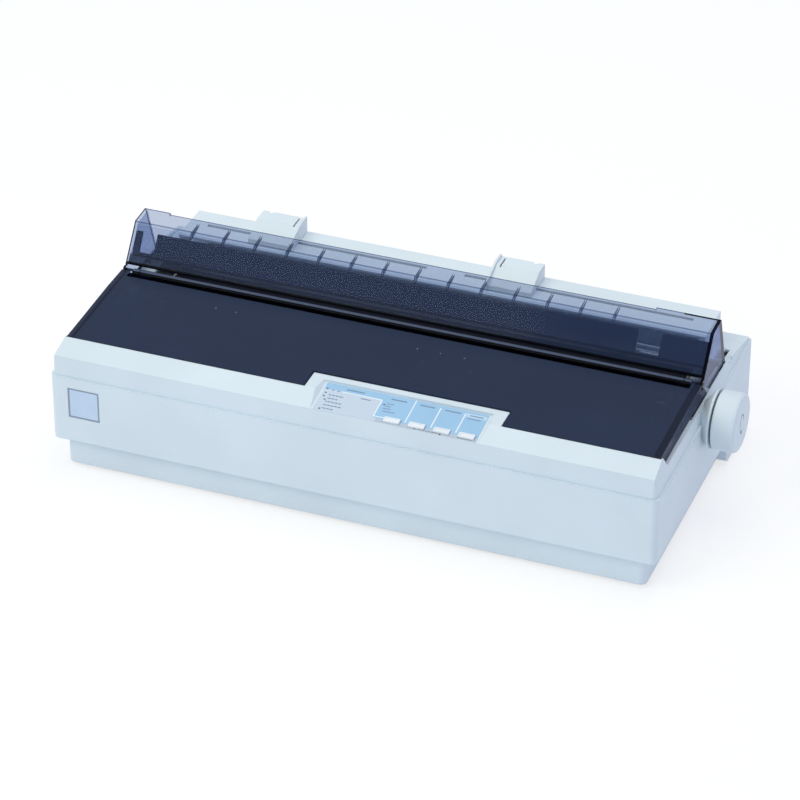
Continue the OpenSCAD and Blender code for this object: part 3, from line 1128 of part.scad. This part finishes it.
module parallel_port() place() color([0.72, 0.73, 0.75]) difference() {
    union() {
        block(port[0] - port[2] / 2 + gap, port[0] + port[2] / 2 - gap, body_d - 16, body_d + rear_proud,
              port[1] - port[3] / 2 + gap, port[1] + port[3] / 2 - gap);
        block(port[0] - port[2] / 2 - 8, port[0] + port[2] / 2 + 8, body_d, body_d + 1.2,
              port[1] - port[3] / 2 - 1, port[1] + port[3] / 2 + 1);
    }
    difference() {
        block(port[0] - 25, port[0] + 25, body_d - 9, body_d + 6, port[1] - 6, port[1] + 6);
        block(port[0] - 22, port[0] + 22, body_d - 10, body_d + 1.5, port[1] - 1.6, port[1] + 1.6);
    }
    for (s = [-1, 1]) rod_y(body_d - 2, body_d + 3, port[0] + s * 33, port[1], 1.5);
}
module slot_cover() place() color([0.80, 0.86, 0.92]) {
    block(slot[0] - slot[2] / 2 + gap, slot[0] + slot[2] / 2 - gap, body_d - wall, body_d,
          slot[1] - slot[3] / 2 + gap, slot[1] + slot[3] / 2 - gap);
    block(slot[0] - slot[2] / 2 - 3, slot[0] + slot[2] / 2 + 3, body_d - wall - 1.6, body_d - wall,
          slot[1] - slot[3] / 2 - 3, slot[1] + slot[3] / 2 + 3);
}
// A circuit board on the posts at x0 and x1, and the screw holes of both boards
module board_sheet(x0, x1) block(x0 - board_rim, x1 + board_rim, board_y[0] - board_rim,
    board_y[1] + board_rim, board_z, board_z + 1.6);
module board_holes() for (x = board_x, y = board_y)
    translate([x, y, board_z - 1]) cylinder(r = 1.6, h = 4, $fn = 24);
module main_board() place() color([0.14, 0.40, 0.24]) {
    difference() {
        board_sheet(board_x[0], board_x[1]);
        board_holes();
    }
    for (c = [[-195, 110, 40, 14, 4], [-140, 105, 22, 22, 4], [-195, 145, 30, 10, 4], [-150, 150, 14, 30, 9],
              [-120, 150, 10, 10, 12]])
        translate([c[0], c[1], board_z + 1.6]) cube([c[2], c[3], c[4]]);
}
module power_board() place() color([0.62, 0.50, 0.28]) {
    difference() {
        board_sheet(board_x[2], board_x[3]);
        board_holes();
    }
    for (p = [[40, 110], [40, 140], [70, 115]]) translate([p[0], p[1], board_z + 1.6])
        cylinder(r = 8, h = 16, $fn = 32);
    block(85, 88, 110, 165, board_z + 1.6, board_z + 18);
    block(96, 99, 110, 165, board_z + 1.6, board_z + 18);
}
core = [56, 26, 34];                // the transformer's iron and its winding
coil = [76, 16, 26];
module transformer() place() color([0.42, 0.36, 0.30]) translate([-100, body_d - 27, foot_h + wall]) {
    translate([-core[0] / 2, -core[1] / 2, 0]) cube(core);
    translate([-coil[0] / 2, -coil[1] / 2, (core[2] - coil[2]) / 2]) cube(coil);
}

lower_case();
top_case();
rubber_feet();
case_screws();
mechanism_frame();
carriage_guide_shaft();
front_rail();
platen_bushes();
paper_chute();
carriage_motor();
feed_motor();
carriage_belt();
main_board();
power_board();
transformer();
power_inlet();
parallel_port();
slot_cover();
ribbon_cartridge();
ink_ribbon();
panel_board();
panel_overlay();
badge_plate();
tractor_guide_shaft();
switch_housing();
hood();
paper_tension_plate();
front_cover();
platen_shaft();
platen_roller();
platen_knob();
platen_gear();
feed_idler_gear();
feed_motor_pinion();
pressure_rollers();
tractor_idler_gear();
tractor_drive_shaft();
carriage();
print_head();
ribbon_mask();
motor_pulley();
idler_pulley();
tractor_left();
tractor_right();
pin_wheel_left();
pin_wheel_right();
tractor_door_left();
tractor_door_right();
paper_guide();
edge_guide_left();
edge_guide_right();
release_lever();
gap_lever();
ribbon_knob();
power_rocker();
button_1();
button_2();
button_3();
button_4();
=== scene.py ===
import math

import bmesh
import bpy
from mathutils import Matrix, Vector

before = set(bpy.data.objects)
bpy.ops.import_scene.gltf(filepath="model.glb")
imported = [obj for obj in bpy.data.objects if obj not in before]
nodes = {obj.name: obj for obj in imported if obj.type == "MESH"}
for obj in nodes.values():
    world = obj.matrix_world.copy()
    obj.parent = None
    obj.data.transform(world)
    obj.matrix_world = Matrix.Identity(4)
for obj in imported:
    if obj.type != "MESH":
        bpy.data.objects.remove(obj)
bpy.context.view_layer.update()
scene = bpy.context.scene

# The drawing frame of the CAD has X = 0 at the middle of the casing and Y = 0 at its front.
# Its origin, in millimetres from the origin of the part:
DRAW_X, DRAW_Y = 14.5, 137.5

CASING_CODE = "DDE8EE"     # colour of the moulded casing
CASING_ROUGH = 0.52
CASING_GRAIN = 0.00003     # depth of the spark eroded grain, in metres

# Camera fitted to the photograph: place in the drawing frame, angles in degrees,
# sensor and lens in millimetres
CAMERA_AT = (963.7, -2407.2, 1792.0)
CAMERA_AZIMUTH, CAMERA_ELEVATION, CAMERA_ROLL = 20.82, 32.65, 0.067
CAMERA_SENSOR, CAMERA_LENS = 36, 167.1


def at(x, y, z):
    """A point given in millimetres of the drawing frame."""
    return Vector(((x - DRAW_X) / 1000, (y - DRAW_Y) / 1000, z / 1000))


def srgb(code):
    v = [int(code[i:i + 2], 16) / 255 for i in (0, 2, 4)]
    return [c / 12.92 if c <= 0.04045 else ((c + 0.055) / 1.055) ** 2.4 for c in v] + [1]


def shade(c, k):
    return [c[0] * k, c[1] * k, c[2] * k, 1]


# ---------- node helpers ----------
class Look:
    """A node material while it is built. An input is a socket, or a number or colour."""

    def __init__(self, name):
        self.material = bpy.data.materials.new(name)
        self.material.use_nodes = True
        self.tree = self.material.node_tree
        self.tree.nodes.clear()
        self.out = self.tree.nodes.new("ShaderNodeOutputMaterial")
        self.place = None

    def node(self, kind, inputs=(), **settings):
        n = self.tree.nodes.new("ShaderNode" + kind)
        for key, value in settings.items():
            setattr(n, key, value)
        for key, value in dict(inputs).items():
            self.put(n, key, value)
        return n

    def put(self, n, key, value):
        if isinstance(value, bpy.types.NodeSocket):
            self.tree.links.new(value, n.inputs[key])
        else:
            n.inputs[key].default_value = value

    def math(self, operation, a, b=0.0, c=0.0):
        return self.node("Math", {0: a, 1: b, 2: c}, operation=operation).outputs[0]

    def xyz(self):
        """X, Y and Z of the surface in millimetres of the drawing frame."""
        if self.place is None:
            co = self.node("TexCoord").outputs["Object"]
            mm = self.node("Mapping", {"Vector": co, "Scale": (1000, 1000, 1000),
                                       "Location": (DRAW_X, DRAW_Y, 0)})
            split = self.node("SeparateXYZ", {0: mm.outputs[0]})
            self.place = list(split.outputs)
        return self.place

    def between(self, v, low, high):
        return self.math("COMPARE", v, (low + high) / 2, (high - low) / 2)

    def all_of(self, *masks):
        m = masks[0]
        for k in masks[1:]:
            m = self.math("MULTIPLY", m, k)
        return m

    def any_of(self, masks):
        m = masks[0]
        for k in masks[1:]:
            m = self.math("MAXIMUM", m, k)
        return m

    def rect(self, x0, x1, y0, y1):
        x, y, _ = self.xyz()
        return self.all_of(self.between(x, x0, x1), self.between(y, y0, y1))

    def dot(self, x0, y0, r):
        x, y, _ = self.xyz()
        far = self.math("ADD", self.math("POWER", self.math("SUBTRACT", x, x0), 2.0),
                        self.math("POWER", self.math("SUBTRACT", y, y0), 2.0))
        return self.math("LESS_THAN", far, r * r)

    def noise(self, scale, detail=2.0, rough=0.5, stretch=None):
        co = self.node("TexCoord").outputs["Object"]
        if stretch:
            co = self.node("Mapping", {"Vector": co, "Scale": stretch}).outputs[0]
        return self.node("TexNoise", {"Vector": co, "Scale": scale, "Detail": detail,
                                      "Roughness": rough}).outputs["Fac"]

    def ramp(self, fac, *stops):
        r = self.node("ValToRGB", {0: fac})
        bar = r.color_ramp
        while len(bar.elements) < len(stops):
            bar.elements.new(0.5)
        for e, (pos, c) in zip(bar.elements, stops):
            e.position = pos
            e.color = c
        return r.outputs[0]

    def span(self, v, low, high, a=0.0, b=1.0):
        return self.node("MapRange", {"Value": v, "From Min": low, "From Max": high,
                                      "To Min": a, "To Max": b}).outputs[0]

    def paint(self, under, mask, over):
        m = self.node("Mix", {"Factor": mask}, data_type="RGBA")
        self.put(m, 6, under)
        self.put(m, 7, over)
        return m.outputs[2]

    def times(self, a, b):
        m = self.node("Mix", {"Factor": 1.0}, data_type="RGBA", blend_type="MULTIPLY")
        self.put(m, 6, a)
        self.put(m, 7, b)
        return m.outputs[2]

    def mottled(self, colour, scale=14, vary=0.04):
        low, high = shade(colour, 1 - vary), shade(colour, 1 + vary / 2)
        return self.ramp(self.noise(scale), (0.3, low), (0.7, high))

    def surface(self, shader):
        self.tree.links.new(shader.outputs[0], self.out.inputs[0])
        return self.material


def principled(k, colour, rough, grain=0.0, grain_scale=1600, edge=0.0008, spec=0.4):
    p = k.node("BsdfPrincipled", {"Base Color": colour, "Specular IOR Level": spec,
                                  "Roughness": k.span(k.noise(60, 3), 0.0, 1.0, rough - 0.05, rough + 0.06)})
    normal = None
    if edge:
        normal = k.node("Bevel", {"Radius": edge}, samples=4).outputs[0]
    if grain:
        b = k.node("Bump", {"Height": k.noise(grain_scale, 2, 0.6), "Distance": grain, "Strength": 1.0})
        if normal:
            k.put(b, "Normal", normal)
        normal = b.outputs[0]
    if normal:
        k.put(p, "Normal", normal)
    return k.surface(p)


def plastic(name, code, rough=0.5, grain=CASING_GRAIN, edge=0.0008, vary=0.04, spec=0.4, scale=1600):
    """Moulded plastic with a fine spark eroded grain, a faint mottling and softened edges."""
    k = Look(name)
    return principled(k, k.mottled(srgb(code), 14, vary), rough, grain, scale, edge, spec)


def metal(name, code, rough, stretch=(900, 900, 20)):
    """Drawn, rolled or ground metal, with its streaks in colour, gloss and relief."""
    k = Look(name)
    c = srgb(code)
    streak = k.noise(1.0, 2, 0.5, stretch)
    colour = k.ramp(streak, (0.3, shade(c, 0.88)), (0.7, shade(c, 1.05)))
    p = k.node("BsdfPrincipled", {"Base Color": colour, "Metallic": 1.0,
                                  "Roughness": k.span(streak, 0.0, 1.0, rough * 0.8, rough * 1.3)})
    edge = k.node("Bevel", {"Radius": 0.0003}, samples=4)
    b = k.node("Bump", {"Height": streak, "Distance": 0.00002, "Strength": 0.6, "Normal": edge.outputs[0]})
    k.put(p, "Normal", b.outputs[0])
    return k.surface(p)


def facing_x(k):
    """1 on the faces that look to the left or right, 0 elsewhere."""
    n = k.node("NewGeometry").outputs["Normal"]
    across = k.node("SeparateXYZ", {0: n}).outputs[0]
    return k.math("GREATER_THAN", k.math("ABSOLUTE", across), 0.5)


def smoked(k, tint, haze, share, dark, shine=0.008, slope=0.9, rough=0.05):
    """Smoked sheet: each skin lets tinted light through, scatters a little of it and shines."""
    clear = k.node("BsdfTransparent", {0: k.paint(tint, dark, (0.015, 0.02, 0.05, 1))})
    milk = k.node("BsdfDiffuse", {0: k.paint(haze, dark, (0.01, 0.012, 0.03, 1))})
    body = k.node("MixShader", {0: share, 1: clear.outputs[0], 2: milk.outputs[0]})
    edge = k.node("Bevel", {"Radius": 0.0006}, samples=4)
    relief = k.node("Bump", {"Height": k.noise(30, 1), "Distance": 0.00004, "Strength": 0.5,
                             "Normal": edge.outputs[0]})
    gloss = k.node("BsdfAnisotropic", {"Color": (1, 1, 1, 1), "Roughness": rough,
                                       "Normal": relief.outputs[0]})
    facing = k.node("LayerWeight", {"Blend": 0.5}).outputs["Facing"]
    fresnel = k.math("MULTIPLY_ADD", k.math("POWER", facing, 5.0), slope, shine)
    return k.surface(k.node("MixShader", {0: fresnel, 1: body.outputs[0], 2: gloss.outputs[0]}))


# ---------- materials ----------
def casing(name="casing_plastic", code=CASING_CODE):
    return plastic(name, code, CASING_ROUGH)


def hood_look():
    """Smoked sheet, with painted light and shade in its tint and haze: a lighter top, darker side walls with
    lighter left end walls, painted shade on the band below the bend and along the crease and rear edges, and
    darker ribs and edges.
    """
    k = Look("smoked_hood")
    x, y, z = k.xyz()
    side = facing_x(k)
    front = k.math("SUBTRACT", 1.0, side)
    wide = k.math("ABSOLUTE", x)
    tint = k.times(k.ramp(k.noise(9), (0.3, (0.94, 0.95, 0.97, 1)), (0.7, (1, 1, 1, 1))),
                   (0.68, 0.73, 0.83, 1))
    # painted light and shade: the top lets more light through than the front, the side walls less, and the
    # left end walls more than the right ones
    top = k.all_of(front, k.math("GREATER_THAN", y, 169.6))
    tint = k.paint(tint, top, (0.80, 0.84, 0.93, 1))
    tint = k.paint(tint, side, (0.53, 0.61, 0.82, 1))
    tint = k.paint(tint, k.all_of(side, k.math("LESS_THAN", x, -262.0)), (0.76, 0.81, 0.92, 1))
    # darkened by position: painted shade on the band below the bend, where the sheet hides the mechanism,
    # painted shade lines along the crease and the rear edges, and darker ribs and edges
    under = k.all_of(front, k.math("LESS_THAN", y, 151.8), k.math("GREATER_THAN", x, -264.2))
    tint = k.paint(tint, under, (0.24, 0.27, 0.32, 1))
    ribs = k.all_of(side, k.math("LESS_THAN", wide, 262.0))
    crease = k.all_of(front, k.between(y, 168.4, 169.5), k.math("GREATER_THAN", z, 155.2))
    tail = k.math("MULTIPLY_ADD", k.math("SUBTRACT", y, 190.5), 0.943,
                  k.math("MULTIPLY", k.math("SUBTRACT", z, 158.0), 0.332))
    rear = k.all_of(k.math("GREATER_THAN", z, 157.0), front)
    # painted shade: dark lines along the crease and the rear edges
    fine = [crease, k.all_of(rear, k.between(y, 187.4, 188.2), k.between(x, -242, 209)),
            k.all_of(rear, k.math("GREATER_THAN", y, 189.8))]
    tint = k.paint(tint, k.any_of(fine), (0.34, 0.39, 0.52, 1))
    tint = k.paint(tint, ribs, (0.14, 0.17, 0.27, 1))
    rims = [k.all_of(front, k.math("GREATER_THAN", x, 263.2)),
            k.all_of(front, k.math("LESS_THAN", x, -265.2)),
            k.all_of(rear, k.math("GREATER_THAN", y, 188.2), k.math("GREATER_THAN", x, 234.0)),
            k.all_of(side, k.math("GREATER_THAN", tail, -0.9), k.math("GREATER_THAN", x, 262.0)),
            k.all_of(side, k.math("LESS_THAN", z, 106.3)),
            k.all_of(front, k.math("LESS_THAN", y, 147.2))]
    milk = k.mottled((0.12, 0.18, 0.38), 9, 0.05)
    # painted light: the top scatters a paler, greyer haze than the rest of the sheet
    milk = k.paint(milk, top, (0.12, 0.15, 0.19, 1))
    return smoked(k, tint, milk, 0.12, k.any_of(rims), 0.0025, 0.5)


def cover_look():
    """Smoked sheet of one haze, with dark cut edges, painted shade in the hinge trough and in the gap behind
    its lip, and a painted highlight on the lip.
    """
    k = Look("smoked_cover")
    x, y, z = k.xyz()
    side = facing_x(k)
    flat = k.math("SUBTRACT", 1.0, side)
    haze = k.mottled(srgb("3A4661"), 9, 0.06)
    rim = k.all_of(flat, k.math("GREATER_THAN", k.math("ABSOLUTE", x), 260.0))
    haze = k.paint(haze, rim, srgb("2C3246"))
    # painted shade: the hinge trough and the gap behind the lip are painted near-black
    trough = k.all_of(k.between(y, 129.6, 139.2), k.between(x, -258, 258))
    gap = k.all_of(k.between(y, 142.9, 150), k.between(x, -262, 262))
    haze = k.paint(haze, k.math("MAXIMUM", trough, gap), srgb("05060C"))
    # painted highlight: the lip is painted lighter than the sheet
    lip = k.all_of(k.between(y, 139.2, 142.9), k.between(x, -257, 257), k.math("GREATER_THAN", z, 122.5))
    haze = k.paint(haze, lip, srgb("6A7692"))
    ticks = k.any_of([k.rect(a - 0.7, a + 0.7, 106.3, 107.5) for a in (-163, -144, 23.6, 44.4, 66.1)])
    haze = k.paint(haze, ticks, srgb("8E9BB8"))
    # painted shade: the trough, the gap and the lip let less light through
    hinge = k.any_of([trough, gap, lip])
    tint = k.paint((0.30, 0.34, 0.45, 1), hinge, (0.12, 0.15, 0.25, 1))
    return smoked(k, tint, haze, 0.58, 0.0, 0.004, 0.3, 0.25)


def plate_look():
    k = Look("tension_plate_plastic")
    return principled(k, k.mottled(srgb("0C0F1C"), 40, 0.08), 0.5, 0.0, edge=0.0005, spec=0.1)


def overlay_look():
    """Printed film: fields of colour, white dividers and generic marks, without any lettering."""
    k = Look("overlay_film")
    x, y, _ = k.xyz()
    c = k.mottled(srgb("A0C8E7"), 30, 0.03)
    pale = k.any_of([k.rect(-32, 21, 2, 30), k.rect(-32, 114, 2, 7.5)])
    c = k.paint(c, pale, srgb("CCD8E6"))
    c = k.paint(c, k.rect(24, 114, 2, 7.5), srgb("BCC7D3"))
    lines = [(-15, 21, 29.4, 30.6), (20.4, 21.6, 9, 30.4), (21, 31, 8.9, 10.1), (48.5, 49.6, 9, 38),
             (71.2, 72.4, 9.5, 35), (93.2, 94.4, 9.5, 35)]
    c = k.paint(c, k.any_of([k.rect(*r) for r in lines]), srgb("E9F2F8"))
    c = k.paint(c, k.rect(95, 113, 31, 35.2), srgb("C4DCF0"))
    spots = [(-28.4, 30.7), (-28, 25.4), (-28, 21), (-25.7, 17), (-25.7, 5), (24.6, 25.2),
             (59.5, 4.2), (82, 3.8)]
    dark = [k.dot(a, b, 0.9) for a, b in spots]
    dark += [k.rect(62, 80, 4.0, 4.5), k.rect(97, 110, 4.0, 4.5), k.rect(-23.6, -22.2, 29.2, 30.2),
             k.rect(-18.7, -17.3, 29, 30)]
    c = k.paint(c, k.any_of(dark), srgb("4A5768"))
    # rows of short bars beside the dots, and small bars above the buttons
    row = k.math("FRACT", k.math("DIVIDE", y, 4.3))
    seed = k.math("FLOOR", k.math("DIVIDE", y, 4.3))
    cut = k.node("TexWhiteNoise", {"W": seed}, noise_dimensions="1D").outputs["Value"]
    end = k.math("MULTIPLY_ADD", cut, 7.0, -15.0)
    phase = k.math("MULTIPLY_ADD", x, 0.31, k.math("MULTIPLY", seed, 0.37))
    gaps = k.math("GREATER_THAN", k.math("FRACT", phase), 0.2)
    bars = k.all_of(k.between(row, 0.3, 0.62), k.math("GREATER_THAN", x, -24.5), k.math("LESS_THAN", x, end),
                    k.between(y, 4, 26.6), gaps)
    caps = [(-12, 4, 33, 34.6), (28, 42, 32.6, 34.2), (54, 67, 32.6, 34.2), (76, 90, 32.6, 34.2),
            (98, 110, 32.4, 33.8), (97, 109, 28.6, 29.8), (3, 12, 26, 27.2), (26.5, 33, 26.6, 27.6),
            (26, 31, 23.4, 24.4), (25, 32, 20.2, 21.2), (26, 37, 16.8, 17.8)]
    c = k.paint(c, k.any_of([bars] + [k.rect(*r) for r in caps]), srgb("7F93AE"))
    # painted shade: a grey strip in front of each button
    painted_button_shade = [k.rect(a, a + 13, 4.9, 6.6) for a in (30.5, 52.5, 74.5, 96.5)]
    c = k.paint(c, k.any_of(painted_button_shade), srgb("93A4B8"))
    return principled(k, c, 0.35, 0.00001, edge=0)


def badge_look():
    k = Look("badge_foil")
    x, _, z = k.xyz()
    c = k.mottled(srgb("C6D8EE"), 60, 0.05)
    inner = k.all_of(k.between(x, -255.0, -229.0), k.between(z, 56.6, 82.9))
    c = k.paint(srgb("8E9DAF"), inner, c)
    return principled(k, c, 0.3, 0.00001, edge=0.0002, spec=0.5)


def knob_look():
    """Casing plastic with a grey loop arrow printed on the end of the knob."""
    k = Look("knob_plastic")
    x, y, z = k.xyz()
    u = k.math("DIVIDE", k.math("SUBTRACT", y, 141.5), 5.0)
    v = k.math("DIVIDE", k.math("SUBTRACT", z, 91.5), 8.6)
    r = k.math("SQRT", k.math("ADD", k.math("POWER", u, 2.0), k.math("POWER", v, 2.0)))
    gap = k.all_of(k.math("GREATER_THAN", u, 0.0), k.math("LESS_THAN", v, 0.1))
    loop = k.all_of(k.between(r, 0.88, 1.1), k.math("SUBTRACT", 1.0, gap))
    head = k.all_of(k.between(v, -1.25, -0.75),
                    k.math("LESS_THAN", k.math("ABSOLUTE", k.math("SUBTRACT", u, -0.1)),
                           k.math("MULTIPLY_ADD", v, 0.9, 1.2)))
    mark = k.all_of(k.math("MAXIMUM", loop, head), k.math("GREATER_THAN", x, 301.5))
    c = k.paint(k.mottled(srgb(CASING_CODE), 14, 0.04), mark, srgb("7B8798"))
    return principled(k, c, CASING_ROUGH, CASING_GRAIN)


M = {
    "casing": casing(),
    "upper": casing("upper_casing_plastic"),
    "knob": knob_look(),
    "guide": casing("guide_plastic", "E3EDF2"),
    "hood": hood_look(),
    "cover": cover_look(),
    "plate": plate_look(),
    "dark": plastic("dark_plastic", "2A2D35", 0.5, 0.00002),
    "blue": plastic("blue_plastic", "3D5AA8", 0.4),
    "gear": plastic("gear_plastic", "D9DAD2", 0.4),
    "film": overlay_look(),
    "badge": badge_look(),
    "button": plastic("button_plastic", "F1F5F8", 0.4, 0.00002, 0.0005),
    "rubber": plastic("black_rubber", "1B1C1F", 0.75, 0.00004, scale=700),
    "roller": plastic("platen_rubber", "141A28", 0.7, 0.00002, scale=700, spec=0.08),
    "chute": plastic("chute_plastic", "0F1626", 0.6, 0.00002, spec=0.08),
    "zinc": metal("zinc_steel", "8C9096", 0.35),
    "bright": metal("bright_steel", "C9CCD0", 0.15, (20, 900, 900)),
    "motor": plastic("motor_steel", "3C3E44", 0.4),
    "alu": metal("head_aluminium", "8E9197", 0.4, (500, 500, 500)),
    "brass": metal("pinion_brass", "B8934F", 0.25),
    "board": plastic("circuit_board", "1C5A38", 0.35),
    "supply": plastic("supply_board", "8C7440", 0.5),
    "winding": metal("winding", "7A5A3A", 0.4),
    "ribbon": plastic("ribbon_fabric", "0B0C12", 0.9, 0.00005, scale=2500),
}

USE = {
    "casing": ["lower_case", "slot_cover", "release_lever"],
    "upper": ["top_case"],
    "knob": ["platen_knob"],
    "badge": ["badge_plate"],
    "guide": ["paper_guide", "edge_guide_left", "edge_guide_right", "tractor_left", "tractor_right",
              "tractor_door_left", "tractor_door_right"],
    "hood": ["hood"],
    "cover": ["front_cover"],
    "plate": ["paper_tension_plate"],
    "chute": ["paper_chute"],
    "dark": ["platen_bushes", "power_inlet", "ribbon_cartridge", "switch_housing", "carriage",
             "power_rocker"],
    "blue": ["gap_lever", "ribbon_knob"],
    "gear": ["platen_gear", "feed_idler_gear", "tractor_idler_gear", "tractor_drive_shaft", "motor_pulley",
             "idler_pulley", "pin_wheel_left", "pin_wheel_right"],
    "film": ["panel_overlay"],
    "button": ["button_1", "button_2", "button_3", "button_4"],
    "rubber": ["rubber_feet", "carriage_belt", "pressure_rollers"],
    "roller": ["platen_roller"],
    "zinc": ["case_screws", "mechanism_frame", "front_rail", "parallel_port"],
    "bright": ["carriage_guide_shaft", "tractor_guide_shaft", "platen_shaft", "ribbon_mask"],
    "motor": ["carriage_motor", "feed_motor"],
    "alu": ["print_head"],
    "brass": ["feed_motor_pinion"],
    "board": ["main_board", "panel_board"],
    "supply": ["power_board"],
    "winding": ["transformer"],
    "ribbon": ["ink_ribbon"],
}
for key, names in USE.items():
    for n in names:
        o = nodes[n]
        o.data.materials.clear()
        o.data.materials.append(M[key])
left = [n for n in nodes if not any(n in v for v in USE.values())]
assert not left, left

# ---------- floor, backdrop and world ----------
k = Look("stage_white")
path = k.node("LightPath").outputs
seen = k.math("MAXIMUM", k.math("MAXIMUM", path["Is Camera Ray"], path["Is Glossy Ray"]),
              path["Is Transmission Ray"])
# seen by the camera the floor shines white by itself and keeps a part of the object's shadow
plain = k.node("BsdfDiffuse", {0: (0.93, 0.93, 0.93, 1)})
shaded = k.node("BsdfDiffuse", {0: (0.36, 0.36, 0.36, 1)})
glow = k.node("Emission", {0: (1, 1, 1, 1), 1: 0.68})
lit = k.node("AddShader", {0: shaded.outputs[0], 1: glow.outputs[0]})
k.surface(k.node("MixShader", {0: seen, 1: plain.outputs[0], 2: lit.outputs[0]}))
bm = bmesh.new()
for x, y in ((-4, -4), (4, -4), (4, 4), (-4, 4)):
    bm.verts.new((x, y, 0))
bm.faces.new(bm.verts)
me = bpy.data.meshes.new("stage_floor")
bm.to_mesh(me)
bm.free()
floor = bpy.data.objects.new("stage_floor", me)
scene.collection.objects.link(floor)
me.materials.append(k.material)

world = bpy.data.worlds.new("studio")
scene.world = world
world.use_nodes = True
nt = world.node_tree
nt.nodes.clear()
out = nt.nodes.new("ShaderNodeOutputWorld")
soft = nt.nodes.new("ShaderNodeBackground")
soft.inputs[0].default_value = (0.70, 0.77, 1.0, 1)
soft.inputs[1].default_value = 0.74
plain = nt.nodes.new("ShaderNodeBackground")
plain.inputs[0].default_value = (1, 1, 1, 1)
plain.inputs[1].default_value = 1.0
path = nt.nodes.new("ShaderNodeLightPath")
mx1 = nt.nodes.new("ShaderNodeMath")
mx1.operation = "MAXIMUM"
mx2 = nt.nodes.new("ShaderNodeMath")
mx2.operation = "MAXIMUM"
nt.links.new(path.outputs["Is Camera Ray"], mx1.inputs[0])
nt.links.new(path.outputs["Is Glossy Ray"], mx1.inputs[1])
nt.links.new(mx1.outputs[0], mx2.inputs[0])
nt.links.new(path.outputs["Is Transmission Ray"], mx2.inputs[1])
mix = nt.nodes.new("ShaderNodeMixShader")
nt.links.new(mx2.outputs[0], mix.inputs[0])
nt.links.new(soft.outputs[0], mix.inputs[1])
nt.links.new(plain.outputs[0], mix.inputs[2])
nt.links.new(mix.outputs[0], out.inputs[0])


def area(name, loc, target, size, power, color=(1, 1, 1)):
    d = bpy.data.lights.new(name, "AREA")
    d.energy = power
    d.size = size
    d.color = color
    o = bpy.data.objects.new(name, d)
    o.location = loc
    o.rotation_euler = (Vector(target) - Vector(loc)).to_track_quat("-Z", "Y").to_euler()
    scene.collection.objects.link(o)


area("key_light", (-1.5, -1.9, 2.4), (0, 0, 0.08), 1.8, 33, (0.97, 1.0, 0.74))
area("top_light", (0.2, 0.3, 2.6), (0, 0, 0.1), 1.6, 15.5, (1.0, 0.96, 0.62))

# ---------- camera ----------
cam = bpy.data.cameras.new("camera")
cam.sensor_width = CAMERA_SENSOR
cam.lens = CAMERA_LENS
cam_o = bpy.data.objects.new("camera", cam)
scene.collection.objects.link(cam_o)
scene.camera = cam_o
az, el, roll = (math.radians(v) for v in (CAMERA_AZIMUTH, CAMERA_ELEVATION, CAMERA_ROLL))
back = Vector((math.sin(az) * math.cos(el), -math.cos(az) * math.cos(el), math.sin(el)))
right = Vector((math.cos(az), math.sin(az), 0))
up = back.cross(right)
rot = Matrix((right, up, back)).transposed().to_4x4()
cam_o.matrix_world = Matrix.Translation(at(*CAMERA_AT)) @ rot @ Matrix.Rotation(roll, 4, "Z")
cam.clip_end = 50

scene.view_settings.view_transform = "Standard"
